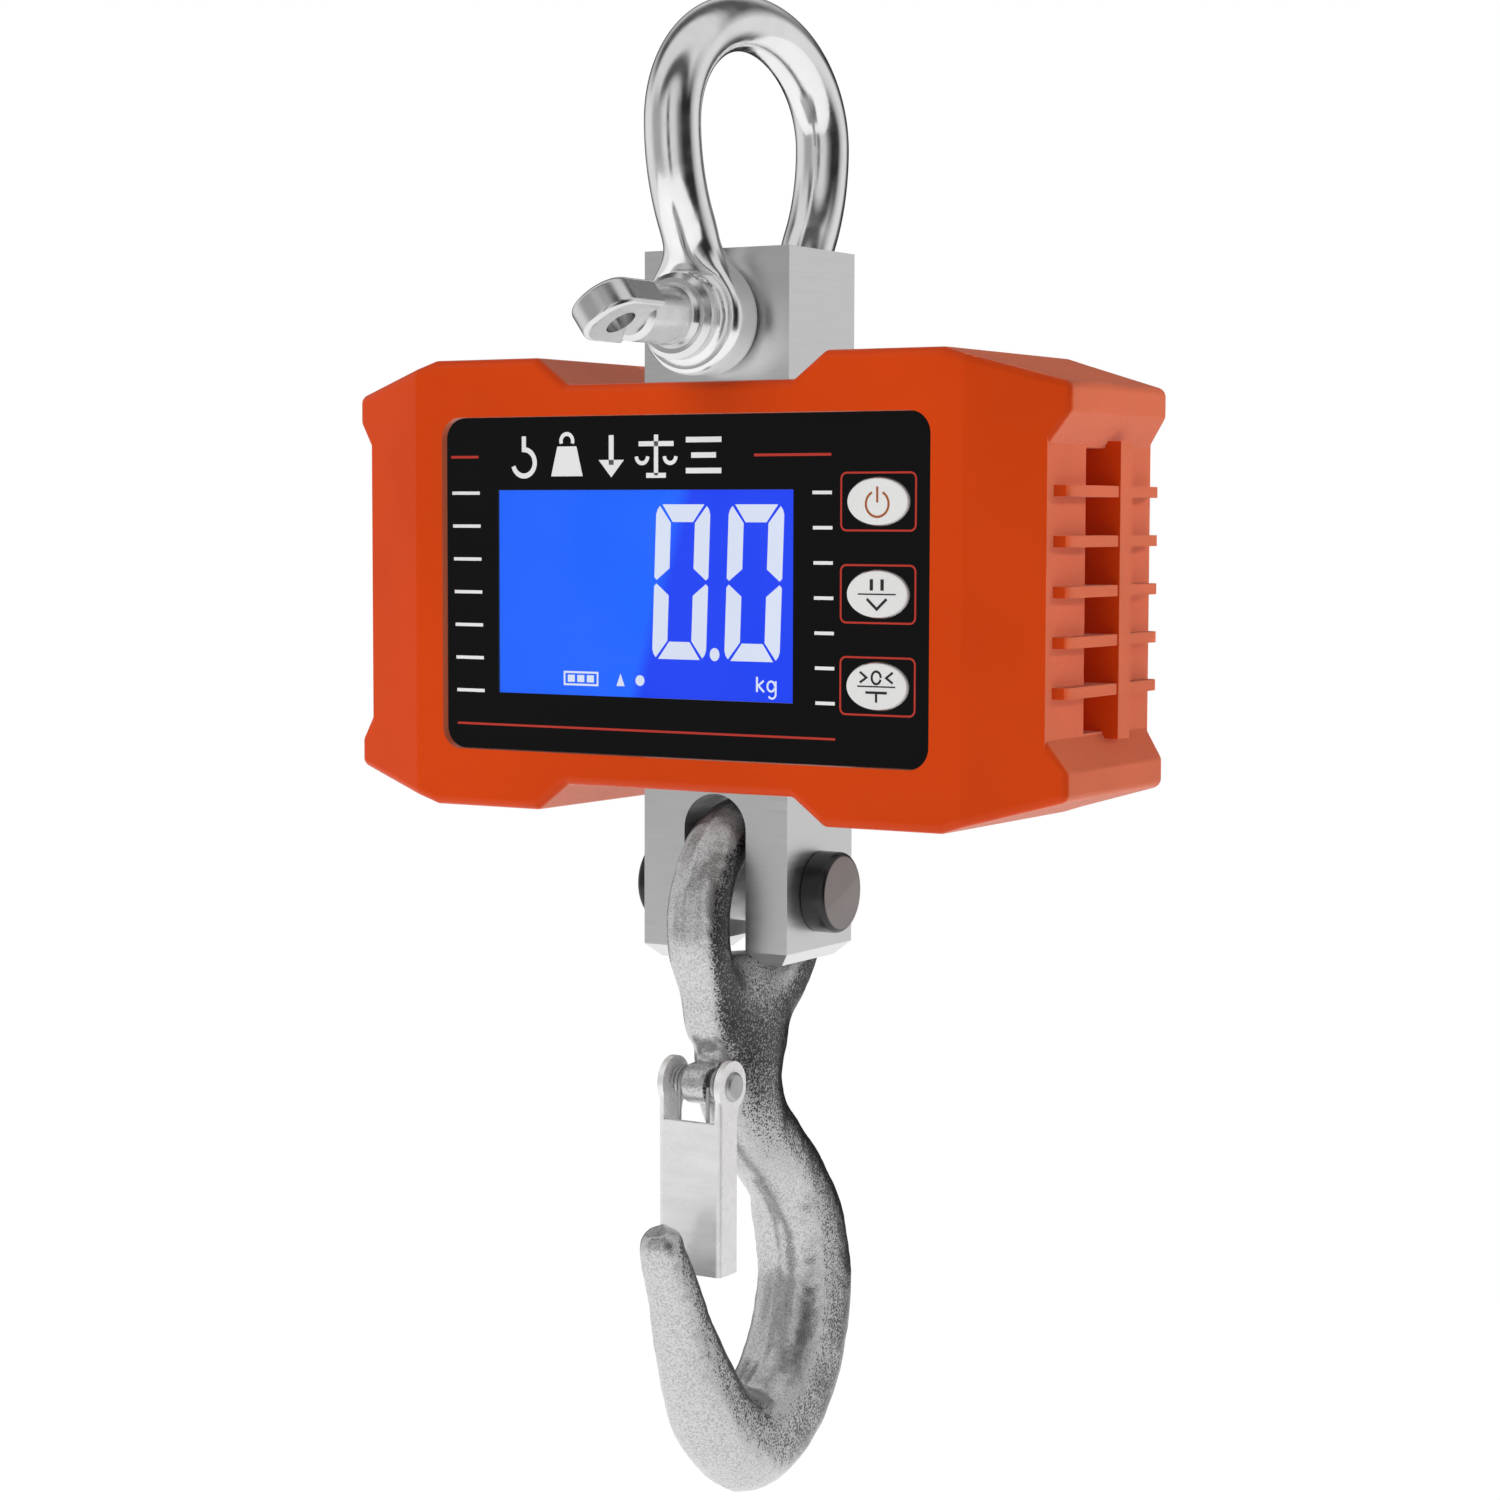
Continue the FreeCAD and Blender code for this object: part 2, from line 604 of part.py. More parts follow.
def shackle_pin():
    """Turned pin with a collar, and a flattened eye tab set askew."""
    owner = body("shackle_pin")
    place(owner, (0, 0, -dim.pin_drop))
    shank = dim.shackle_pin_size / 2.0
    collar = dim.collar_size / 2.0
    face = -(dim.ear_centre + dim.ear_width / 2.0 + dim.ear_ring)
    front = face - dim.collar_width
    tail = -face + dim.pin_tail
    bead = dim.pin_bead
    outline = (
        (0, -dim.neck_end), (shank - bead, -dim.neck_end), (shank, bead - dim.neck_end),
        (shank, front - dim.neck_run), (shank + dim.neck_flare, front),
        (collar - bead, front), (collar, front + bead), (collar, face - bead / 2),
        (collar - bead / 2, face), (shank, face), (shank, tail - bead), (shank - bead, tail),
        (0, tail),
    )
    tilt = Rotation(Vector(0, 1, 0), TAB_TILT)
    plate = rectangle(sketch(owner, "XY_Plane"), -dim.tab_half, dim.tab_half, -dim.tab_tip, -dim.tab_heel)
    plate.AttachmentOffset = FreeCAD.Placement(Vector(), tilt)
    tab = pad(owner, plate, dim.tab_thickness, both=True)
    through = tilt.multVec(Vector(0, 0, 1))

    def is_through(edge):
        ends = edge.Vertexes
        return abs((ends[-1].Point - ends[0].Point).dot(through)) > dim.tab_thickness.value / 2

    def is_tip(edge):
        return is_through(edge) and edge.BoundBox.YMax < dim.tab_heel.value * -1.1

    def is_rim(edge):
        return not is_through(edge)

    tab = dress(owner, "PartDesign::Fillet", "tab_tip_corners", tab, is_tip, dim.tab_end)
    dress(owner, "PartDesign::Fillet", "tab_rim", tab, is_rim, dim.tab_round)
    revolve(owner, polygon(sketch(owner, "XY_Plane"), outline), "V_Axis")
    hole = circle(sketch(owner, "XY_Plane"), 0, -dim.tab_hole_at, dim.tab_hole)
    hole.AttachmentOffset = FreeCAD.Placement(Vector(), tilt)
    pocket(owner, hole, dim.tab_thickness * 3, both=True)


# ---- load cell -----------------------------------------------------------------------

def load_cell():
    """Block with a cross hole above, a gauge window inside the case and a fork below."""
    owner = body("load_cell")
    half = dim.block_width / 2.0
    depth = dim.block_depth
    slot = dim.fork_slot / 2.0
    arch = -dim.slot_top - slot
    outline = sketch(owner, "XZ_Plane")
    rectangle(outline, -half, half, -dim.block_bottom, -dim.block_top)
    pad(owner, outline, depth, both=True)
    mouth = rectangle(sketch(owner, "XZ_Plane"), -slot, slot, -dim.block_bottom - 5, arch)
    pocket(owner, mouth, depth * 2, both=True)
    pocket(owner, circle(sketch(owner, "XZ_Plane"), 0, arch, dim.fork_slot), depth * 2, both=True)
    eye = circle(sketch(owner, "XZ_Plane"), 0, -dim.pin_drop, dim.shackle_hole)
    pocket(owner, eye, depth * 2, both=True)
    cross = circle(sketch(owner, "YZ_Plane"), 0, -dim.hook_pin_drop, dim.hook_pin_size + dim.snug)
    pocket(owner, cross, dim.block_width * 2, both=True)
    middle = -dim.case_middle
    for side in SIDES:
        bore = circle(sketch(owner, "XZ_Plane"), 0, middle + dim.gauge_gap * (side / 2), dim.gauge_bore)
        pocket(owner, bore, depth * 2, both=True)
    link = sketch(owner, "XZ_Plane")
    rectangle(link, -dim.gauge_bore / 5, dim.gauge_bore / 5, middle - dim.gauge_gap / 2,
              middle + dim.gauge_gap / 2)
    pocket(owner, link, depth * 2, both=True)
    wire_way = circle(sketch(owner, "YZ_Plane", half), 0, middle + dim.gauge_gap / 2, dim.gauge_wire_bore)
    last = pocket(owner, wire_way, half)
    for x in (-dim.cell_screw_x, dim.cell_screw_x):
        for z in (-dim.cell_screw_z, dim.cell_screw_z):
            tapped = circle(sketch(owner, "XZ_Plane", -depth / 2), x, middle + z, dim.snug + dim.cell_tap)
            last = pocket(owner, tapped, dim.cell_tap_depth, back=True)
    bottom = -dim.block_bottom.value

    def leg_foot(edge):
        return edge.BoundBox.ZMax < bottom + 0.01

    dress(owner, "PartDesign::Chamfer", "leg_feet", last, leg_foot, dim.leg_chamfer)


def gauge_covers():
    """A thin plate over each end of the gauge window."""
    middle = -dim.case_middle
    for label, side in (("gauge_cover_front", -1), ("gauge_cover_rear", 1)):
        owner = body(label)
        face = dim.block_depth / 2
        outline = sketch(owner, "XZ_Plane", face if side < 0 else -face)
        rectangle(outline, -dim.cover_half, dim.cover_half, middle - dim.cover_tall, middle + dim.cover_tall)
        plate = pad(owner, outline, dim.cover_thickness, back=side > 0)
        dress(owner, "PartDesign::Fillet", label + "_corners", plate, is_along_y, dim.cover_corner)


def is_along_y(edge):
    """A straight edge parallel to Y."""
    box_size = edge.BoundBox
    return box_size.XLength < 0.01 and box_size.ZLength < 0.01 and box_size.YLength > 0.1


def is_along_z(edge):
    """A straight edge parallel to Z."""
    box_size = edge.BoundBox
    return box_size.XLength < 0.01 and box_size.YLength < 0.01 and box_size.ZLength > 0.1


def hook_pin():
    """Cross pin of the fork, drilled at both ends for its caps."""
    owner = body("hook_pin")
    place(owner, (0, 0, -dim.hook_pin_drop))
    half = dim.block_width / 2.0
    radius = dim.hook_pin_size / 2.0
    spigot = dim.cap_spigot / 2.0
    bore = dim.spigot_bore
    outline = (
        (-half, spigot), (-half + bore, spigot), (-half + bore, 0), (half - bore, 0),
        (half - bore, spigot), (half, spigot), (half, radius), (-half, radius),
    )
    revolve(owner, polygon(sketch(owner, "XY_Plane"), outline), "H_Axis")


def pin_caps():
    """Round cap pressed into each end of the hook pin."""
    half = dim.block_width / 2.0
    radius = dim.cap_size / 2.0
    spigot = (dim.cap_spigot - dim.snug) / 2.0
    inner = half - dim.spigot_length
    outer = half + dim.cap_height
    for label, side in (("pin_cap_left", -1), ("pin_cap_right", 1)):
        owner = body(label)
        place(owner, (0, 0, -dim.hook_pin_drop))
        outline = (
            (inner * side, 0), (inner * side, spigot), (half * side, spigot), (half * side, radius),
            ((outer - dim.cap_bevel) * side, radius), (outer * side, radius - dim.cap_bevel),
            (outer * side, 0),
        )
        revolve(owner, polygon(sketch(owner, "XY_Plane"), outline), "H_Axis")


# ---- case ----------------------------------------------------------------------------

def mirrored(points):
    """A closed outline from its upper right quarter, mirrored about both axes."""
    upper = [(-x, z) for x, z in reversed(points)] + [(x, z) for x, z in points]
    lower = [(x, -z) for x, z in reversed(upper)]
    middle = -dim.case_middle
    return [(x, middle + z) for x, z in upper + lower]


def case_solid():
    """Outer form of the closed case: its front outline crossed with its plan outline."""
    front = mirrored((
        (dim.notch_half, dim.notch), (dim.ramp_end, dim.lip), (dim.lip_end, dim.lip),
        (dim.ridge, dim.shoulder), (dim.case_half, dim.corner),
    ))
    plan = (
        (-dim.case_half, -dim.bevel_front), (-dim.ridge, -dim.case_front),
        (dim.ridge, -dim.case_front), (dim.case_half, -dim.bevel_front),
        (dim.case_half, dim.bevel_back), (dim.ridge, dim.case_back),
        (-dim.ridge, dim.case_back), (-dim.case_half, dim.bevel_back),
    )
    across = extrude("case_across", flat_sketch("case_front_outline", front, FRONT_VIEW),
                     Vector(0, 1, 0), dim.case_front * 3, both=True)
    upright = extrude("case_upright", flat_sketch("case_plan_outline", plan, PLAN_VIEW),
                      Vector(0, 0, 1), dim.block_bottom * 2, both=True)
    blank = common("case_blank", [across, upright])
    DOC.recompute()
    rounded = DOC.addObject("Part::Fillet", "case_rounded")
    rounded.Base = blank
    radius = dim.case_round.value
    rounded.Edges = [(row, radius, radius) for row in range(1, len(blank.Shape.Edges) + 1)]
    return rounded


def room_outline(name, grow):
    """Front outline of the space inside the case, grown outwards."""
    wall = dim.wall
    side = dim.side_floor - wall + grow
    return flat_sketch(name, mirrored((
        (dim.notch_half + wall / 3, dim.notch - wall + grow),
        (dim.ramp_end + wall / 3, dim.lip - wall + grow),
        (dim.lip_end, dim.lip - wall + grow),
        (dim.ridge - dim.room_ease, dim.shoulder - wall + grow),
        (side, dim.corner - dim.room_corner + grow),
    )), FRONT_VIEW)


def case_room():
    """Space inside the case, clear of the walls round the side pockets."""
    wall = dim.wall
    side = dim.side_floor - wall
    front = dim.panel_face - dim.panel_thickness - wall
    slope = front - dim.room_slope
    rear = dim.bevel_back - dim.room_back
    plan = (
        (-side, -slope), (-dim.ridge, -front), (dim.ridge, -front), (side, -slope), (side, rear),
        (dim.ridge, dim.case_back - wall), (-dim.ridge, dim.case_back - wall), (-side, rear),
    )
    across = extrude("room_across", room_outline("room_front_outline", size(0)),
                     Vector(0, 1, 0), dim.case_front * 3, both=True)
    upright = extrude("room_upright", flat_sketch("room_plan_outline", plan, PLAN_VIEW),
                      Vector(0, 0, 1), dim.block_bottom * 2, both=True)
    walls = []
    middle = -dim.case_middle
    for side_sign, tag in ((-1, "left"), (1, "right")):
        edges = ((dim.pocket_floor - wall) * side_sign, (dim.case_half + PAST) * side_sign)
        low, high = sorted(edges, key=lambda edge: edge.value)
        walls.append(box("pocket_wall_" + tag,
                         (low, -dim.pocket_front - wall, middle - dim.recess_half - wall),
                         (high, dim.pocket_back + wall, middle + dim.recess_half + wall)))
    return cut("case_room", common("room_blank", [across, upright]), walls)


def recessed(case):
    """The case with a long recess in each side, the lobes beside it rounded."""
    tools = []
    middle = -dim.case_middle
    for sign, tag in ((-1, "left"), (1, "right")):
        out = dim.case_half + PAST
        slope = (dim.recess_end - dim.recess_half) / (dim.case_half.value - dim.side_floor.value)
        reach = dim.recess_half + slope * (out.value - dim.side_floor.value)
        corners = (
            (dim.side_floor * sign, middle + dim.recess_half), (out * sign, middle + reach),
            (out * sign, middle - reach), (dim.side_floor * sign, middle - dim.recess_half),
        )
        profile = flat_sketch("recess_outline_" + tag, corners, FRONT_VIEW)
        tools.append(extrude("recess_" + tag, profile, Vector(0, 1, 0), dim.case_front * 3, both=True))
    carved = cut("case_recessed", case, tools)
    DOC.recompute()
    outer = dim.case_half.value
    rounded = DOC.addObject("Part::Fillet", "case_lobes")
    rounded.Base = carved
    radius = dim.lobe_round.value
    rows = [row for row, edge in enumerate(carved.Shape.Edges, 1)
            if is_along_y(edge) and abs(edge.BoundBox.XMax) > outer - NEAR
            and abs(edge.BoundBox.Center.z - middle.value) < dim.recess_end.value + NEAR]
    rounded.Edges = [(row, radius, radius) for row in rows]
    return rounded


def side_pockets():
    """The deep pocket cut into each side's recess."""
    tools = []
    middle = -dim.case_middle
    for sign, tag in ((-1, "left"), (1, "right")):
        out = dim.case_half + PAST
        low, high = sorted((dim.pocket_floor * sign, out * sign), key=lambda edge: edge.value)
        tools.append(box("pocket_" + tag,
                         (low, -dim.pocket_front, middle - dim.recess_half + dim.bury),
                         (high, dim.pocket_back, middle + dim.recess_half - dim.bury)))
    return tools


def side_ribs():
    """The parting rib and the five fins on each side."""
    parts = []
    middle = -dim.case_middle
    for sign, tag in ((-1, "left"), (1, "right")):
        root = dim.pocket_floor - dim.rib_root
        low, high = sorted((root * sign, dim.rib_out * sign), key=lambda edge: edge.value)
        parts.append(box("rib_" + tag, (low, dim.pocket_back, middle - dim.recess_half - dim.rib_root),
                         (high, dim.rib_back, middle + dim.recess_half + dim.rib_root)))
        floor = dim.side_floor - dim.bury
        front = dim.bevel_front
        rear = dim.bevel_back - dim.fin_gap
        plan = (
            (root * sign, dim.fin_nose - front), (floor * sign, dim.fin_lip - front),
            ((dim.fin_out - dim.fin_bevel) * sign, dim.fin_shoulder - front),
            (dim.fin_out * sign, dim.fin_tip - front), (dim.fin_out * sign, dim.bevel_back - dim.fin_rear),
            ((dim.fin_out - dim.fin_rear_bevel) * sign, rear), (root * sign, rear),
        )
        for step in FIN_STEPS:
            name = "fin_%s_%d" % (tag, step + 2)
            profile = flat_sketch(name + "_outline", plan, PLAN_VIEW)
            bind(profile, "Placement.Base.z", middle + dim.fin_pitch * step)
            parts.append(extrude(name, profile, Vector(0, 0, 1), dim.fin_thickness, both=True))
    return parts


def four_corners(x, z):
    """Four points mirrored about the middle of the case."""
    middle = -dim.case_middle
    return [(x * side, middle + z * level) for side in SIDES for level in SIDES]


def block_way(name):
    """The way for the load cell and its seals through the case."""
    half = dim.block_width / 2.0 + dim.way_gap
    depth = dim.block_depth / 2.0 + dim.way_gap
    reach = dim.lip + PAST
    return box(name, (-half, -depth, -dim.case_middle - reach), (half, depth, -dim.case_middle + reach))


def gasket_ring():
    """Seal in the parting line, cut where the load cell passes."""
    across = Vector(0, 1, 0)
    wide = extrude("gasket_wide", room_outline("gasket_outer", dim.wall / 2), across, dim.gasket_width)
    tight = extrude("gasket_tight", room_outline("gasket_inner", size(0)), across, dim.gasket_width)
    for item in (wide, tight):
        bind(item.Base, "Placement.Base.y", dim.parting - dim.gasket_width / 2)
    return node("shell_gasket", cut("shell_gasket", wide, [tight, block_way("gasket_gap")]))


def panel_slab(name, front, back, inset):
    """A block with the outline of the front panel and rounded corners."""
    middle = -dim.case_middle
    slab = box(name + "_slab",
               (-dim.panel_half + inset, -front, middle - dim.panel_low + inset),
               (dim.panel_half - inset, -back, middle + dim.panel_high - inset))
    DOC.recompute()
    rounded = DOC.addObject("Part::Fillet", name)
    rounded.Base = slab
    radius = dim.panel_corner.value - size(inset).value
    rows = [row for row, edge in enumerate(slab.Shape.Edges, 1) if is_along_y(edge)]
    rounded.Edges = [(row, radius, radius) for row in rows]
    return rounded


def screen_block(name, front, back, inset):
    """A block with the outline of the display window."""
    middle = -dim.case_middle
    return box(name, (-dim.screen_left + inset, -front, middle - dim.screen_low + inset),
               (dim.screen_right - inset, -back, middle + dim.screen_high - inset))


def button_heights():
    """Heights of the three buttons, top first."""
    first = -dim.case_middle + dim.button_top
    return [first - dim.button_pitch * row for row in range(BUTTON_COUNT)]


def button_ways(name, front, length):
    """Oval holes for the three buttons."""
    ways = []
    for row, height in enumerate(button_heights()):
        ways.append(oval("%s_%d" % (name, row), (dim.button_x, -front, height), length,
                         dim.button_long / 2 + dim.button_gap, dim.button_short / 2 + dim.button_gap))
    return ways


def case_half(name, front, back):
    """A block that takes away everything on one side of the parting plane."""
    side = dim.case_half + PAST
    reach = dim.lip + PAST
    return box(name, (-side, front, -dim.case_middle - reach), (side, back, -dim.case_middle + reach))


def front_shell(case, room, ribs, cutters, gasket):
    """Front half of the case, with the panel recess, bosses and board posts."""
    back_half = case_half("behind_parting", dim.parting, dim.case_back + PAST)
    carved = cut("front_carved", case, cutters)
    ribbed = fuse("front_ribbed", [carved, *ribs])
    hollow = cut("front_hollow", ribbed, [room, back_half])
    wall_face = dim.panel_face - dim.panel_thickness
    inner = wall_face - dim.wall
    root = inner + dim.rib_root
    posts = [hollow]
    holes = []
    for row, (x, z) in enumerate(four_corners(dim.boss_x, dim.boss_z)):
        posts.append(rod("front_boss_%d" % row, "y", (x, -root, z), root + dim.parting, dim.boss_radius))
        holes.append(rod("front_pilot_%d" % row, "y", (x, -dim.boss_pilot_depth, z),
                         dim.boss_pilot_depth + dim.parting, (dim.boss_pilot + dim.snug) / 2))
    for row, (x, z) in enumerate(four_corners(dim.board_screw_x, dim.board_screw_z)):
        posts.append(rod("board_post_%d" % row, "y", (x, -root, z), root - dim.board_front,
                         dim.post_radius))
        holes.append(rod("board_pilot_%d" % row, "y", (x, -dim.board_front - dim.post_pilot_depth, z),
                         dim.post_pilot_depth, (dim.post_pilot + dim.snug) / 2))
    solid = fuse("front_posts", posts)
    holes.append(panel_slab("panel_recess", dim.case_front + PAST, wall_face, size(0)))
    holes.append(screen_block("screen_way", dim.case_front, inner - PAST, dim.screen_ledge))
    holes.extend(button_ways("shell_button_way", dim.case_front, dim.case_front - inner + PAST))
    holes.extend([block_way("front_block_way"), gasket])
    node("front_shell", cut("front_shell", solid, holes))


def rear_shell(case, room, ribs, cutters, gasket):
    """Rear half of the case, with screw bosses, block feet and the battery door seat."""
    front_half = case_half("before_parting", -dim.case_front - PAST, dim.parting)
    carved = cut("rear_carved", case, cutters)
    ribbed = fuse("rear_ribbed", [carved, *ribs])
    hollow = cut("rear_hollow", ribbed, [room, front_half])
    middle = -dim.case_middle
    back = dim.case_back
    root = back - dim.rib_root
    posts = [hollow]
    holes = []
    for row, (x, z) in enumerate(four_corners(dim.boss_x, dim.boss_z)):
        posts.append(rod("rear_boss_%d" % row, "y", (x, dim.parting, z), root - dim.parting,
                         dim.rear_boss_radius))
        holes.append(rod("rear_way_%d" % row, "y", (x, dim.parting, z), back, dim.rear_boss_way / 2))
        holes.append(rod("rear_sink_%d" % row, "y", (x, back - dim.rear_sink_depth, z),
                         dim.rear_sink_depth + PAST, dim.rear_sink / 2))
    foot = dim.block_depth / 2
    for row, (x, z) in enumerate(four_corners(dim.cell_screw_x, dim.cell_screw_z)):
        posts.append(rod("cell_foot_%d" % row, "y", (x, foot, z), root - foot, dim.foot_radius))
        holes.append(rod("cell_way_%d" % row, "y", (x, foot, z), back, dim.foot_way / 2))
        holes.append(rod("cell_sink_%d" % row, "y", (x, back - dim.foot_sink_depth, z),
                         dim.foot_sink_depth + PAST, dim.foot_sink / 2))
    seat = back - dim.door_thickness
    frame = dim.door_frame
    depth = dim.door_frame_depth
    gap = dim.door_gap
    posts.append(box("door_frame", (dim.door_left - frame, seat - depth, middle - dim.door_half - frame),
                     (dim.door_right + frame, root, middle + dim.door_half + frame)))
    solid = fuse("rear_posts", posts)
    holes.append(box("door_seat", (dim.door_left - gap, seat, middle - dim.door_half - gap),
                     (dim.door_right + gap, back + PAST, middle + dim.door_half + gap)))
    side = dim.door_ledge
    end = dim.door_end_ledge
    holes.append(box("door_opening", (dim.door_left + side, 0, middle - dim.door_half + end),
                     (dim.door_right - side, back, middle + dim.door_half - end)))
    for row, (x, z) in enumerate(door_screw_spots()):
        holes.append(rod("door_pilot_%d" % row, "y", (x, seat - depth, z), depth + PAST,
                         (dim.door_pilot + dim.snug) / 2))
    holes.extend([block_way("rear_block_way"), gasket])
    node("rear_shell", cut("rear_shell", solid, holes))


def door_screw_spots():
    """Where the two screws of the battery door go."""
    x = (dim.door_left + dim.door_right) / 2
    reach = dim.door_half - dim.door_screw_in
    return [(x, reach * level - dim.case_middle) for level in SIDES]


def seals():
    """Rubber collar round the load cell where it leaves the case."""
    half = dim.block_width / 2.0
    depth = dim.block_depth / 2.0
    for label, level in (("upper_seal", 1), ("lower_seal", -1)):
        centre = (dim.notch - dim.wall / 2.0) * level - dim.case_middle
        tall = dim.seal_tall
        gap = dim.way_gap
        ring = box(label + "_ring", (-half - gap, -depth - gap, centre - tall),
                   (half + gap, depth + gap, centre + tall))
        core = box(label + "_core", (-half, -depth, centre - PAST), (half, depth, centre + PAST))
        node(label, cut(label, ring, core))


def screw(name, head_at, kind):
    """A cross-recessed screw driven from the rear: its head's outer face is at the point."""
    head, head_length, shank, length = kind
    x, y, z = head_at
    cap = rod(name + "_head", "y", (x, y - head_length, z), head_length, head / 2)
    stem = rod(name + "_stem", "y", (x, y - head_length - length, z), length + head_length / 2, shank / 2)
    face = y - head_length * SLOT_DEPTH
    arm = head * SLOT_REACH
    thin = head * SLOT_HALF
    bars = []
    for tag, wide, tall in (("a", arm, thin), ("b", thin, arm)):
        bars.append(box(name + "_slot_" + tag, (x - wide, face, z - tall), (x + wide, y, z + tall)))
    return cut(name, fuse(name + "_blank", [cap, stem]), bars)


def screw_set(label, places, kind):
    """One node that holds identical screws."""
    group = DOC.addObject("Part::Compound", label)
    group.Links = [screw("%s_%d" % (label, row), spot, kind) for row, spot in enumerate(places)]
    node(label, group)


def all_screws():
    back = dim.case_back
    seat = back - dim.rear_sink_depth
    corners = four_corners(dim.boss_x, dim.boss_z)
    screw_set("shell_screws", [(x, seat + SHELL_SCREW[1], z) for x, z in corners], SHELL_SCREW)
    seat = back - dim.foot_sink_depth
    feet = four_corners(dim.cell_screw_x, dim.cell_screw_z)
    screw_set("cell_screws", [(x, seat + CELL_SCREW[1], z) for x, z in feet], CELL_SCREW)
    seat = -dim.board_front + dim.board_thickness
    board = four_corners(dim.board_screw_x, dim.board_screw_z)
    screw_set("board_screws", [(x, seat + BOARD_SCREW[1], z) for x, z in board], BOARD_SCREW)
    seat = back - dim.door_sink_depth
    screw_set("door_screws", [(x, seat + DOOR_SCREW[1], z) for x, z in door_screw_spots()], DOOR_SCREW)


# ---- front panel, display, buttons ---------------------------------------------------

def front_panel():
    """Black panel set in the recess, open for the window and the buttons."""
    back = dim.panel_face - dim.panel_thickness
    slab = panel_slab("overlay_slab", dim.panel_face, back, dim.panel_gap)
    front = dim.panel_face + PAST
    holes = button_ways("panel_button_way", front, dim.panel_thickness + PAST * 2)
    holes.append(screen_block("panel_screen_way", front, back - PAST, size(0)))
    node("panel_overlay", cut("panel_overlay", slab, holes))
    window = screen_block("display_window", dim.panel_face, back, size(0))
    node("display_window", window)


def display():
    """Display glass behind the window, and the light box that carries it."""
    middle = -dim.case_middle
    face = dim.panel_face - dim.panel_thickness - dim.lcd_gap
    back = face - dim.lcd_thickness
    node("lcd_module", screen_block("lcd_module", face, back, dim.lcd_inset))
    side = dim.light_side
    end = dim.light_end
    light = box("light_box", (-dim.screen_left - side, -back, middle - dim.screen_low - end),
                (dim.screen_right + side, -dim.board_front, middle + dim.screen_high + end))
    node("lcd_backlight", light)


def buttons():
    """Three oval buttons, each with a keeper flange and a stem."""
    labels = ("power_button", "hold_button", "tare_button")
    inner = dim.panel_face - dim.panel_thickness - dim.wall
    face = dim.panel_face + dim.button_proud
    for label, height in zip(labels, button_heights()):
        cap = oval(label + "_cap", (dim.button_x, -face, height), face - inner + dim.flange_gap * 4,
                   dim.button_long / 2, dim.button_short / 2)
        flange = oval(label + "_flange", (dim.button_x, -inner + dim.flange_gap, height),
                      dim.flange_thickness, dim.button_long / 2 + dim.flange_out,
                      dim.button_short / 2 + dim.flange_out)
        stem = rod(label + "_stem", "y", (dim.button_x, -inner, height),
                   inner - dim.board_front - dim.stem_gap, dim.stem_radius)
        node(label, fuse(label, [cap, flange, stem]))


def switches():
    """One tactile switch on the board under each button."""
    parts = []
    half = dim.switch_half
    x = dim.button_x
    front = -dim.board_front - dim.switch_height
    for row, height in enumerate(button_heights()):
        parts.append(box("switch_%d" % row, (x - half, front, height - half),
                         (x + half, -dim.board_front, height + half)))
        parts.append(rod("plunger_%d" % row, "y", (x, front - dim.plunger_height, height),
                         dim.plunger_height * 2, dim.plunger_radius))
    node("tact_switches", fuse("tact_switches", parts))


def circuit_board():
    """Board on its posts, drilled at the corners."""
    owner = body("main_board")
    middle = -dim.case_middle
    outline = sketch(owner, "XZ_Plane", dim.board_front)
    rectangle(outline, -dim.board_half, dim.board_half, middle - dim.board_tall, middle + dim.board_tall)
    plate = pad(owner, outline, dim.board_thickness, back=True)
    for x, z in four_corners(dim.board_screw_x, dim.board_screw_z):
        hole = circle(sketch(owner, "XZ_Plane", dim.board_front), x, z, dim.board_hole)
        plate = pocket(owner, hole, dim.board_thickness * 4, both=True)
    dress(owner, "PartDesign::Fillet", "board_corners", plate, is_along_y, dim.board_corner)


def connectors():
    """Two sockets on the rear of the board for the internal wiring."""
    rear = -dim.board_front + dim.board_thickness
    middle = -dim.case_middle
    half = dim.socket_half
    tall = dim.socket_tall
    spots = ((dim.gauge_socket, middle + dim.gauge_gap / 2), (dim.battery_socket, middle))
    group = DOC.addObject("Part::Compound", "board_connectors")
    group.Links = [box("socket_%d" % row, (x - half, rear, z - tall),
                       (x + half, rear + dim.socket_depth, z + tall))
                   for row, (x, z) in enumerate(spots)]
    node("board_connectors", group)


# ---- wiring --------------------------------------------------------------------------

def gauge_cable():
    """Cable from the side of the load cell to its socket: one bend between two runs."""
    bend = dim.cable_bend.value
    half = dim.block_width.value / 2
    z = -dim.case_middle.value + dim.gauge_gap.value / 2
    end = -dim.board_front.value + dim.board_thickness.value + dim.socket_depth.value
    corner = Vector(dim.gauge_socket.value, 0, z)
    begin = Vector(half, 0, z)
    enter = corner + Vector(-bend, 0, 0)
    leave = corner + Vector(0, -bend, 0)
    slant = bend * math.sqrt(0.5)
    mid = Vector(enter.x + slant, leave.y + slant, z)
    path = Part.Wire([
        Part.LineSegment(begin, enter).toShape(),
        Part.Arc(enter, mid, leave).toShape(),
        Part.LineSegment(leave, Vector(corner.x, end, z)).toShape(),
    ])
    section = Part.Wire(Part.makeCircle(dim.cable_size.value / 2, begin, Vector(1, 0, 0)))
    feature("gauge_cable", path.makePipeShell([section], True, True))


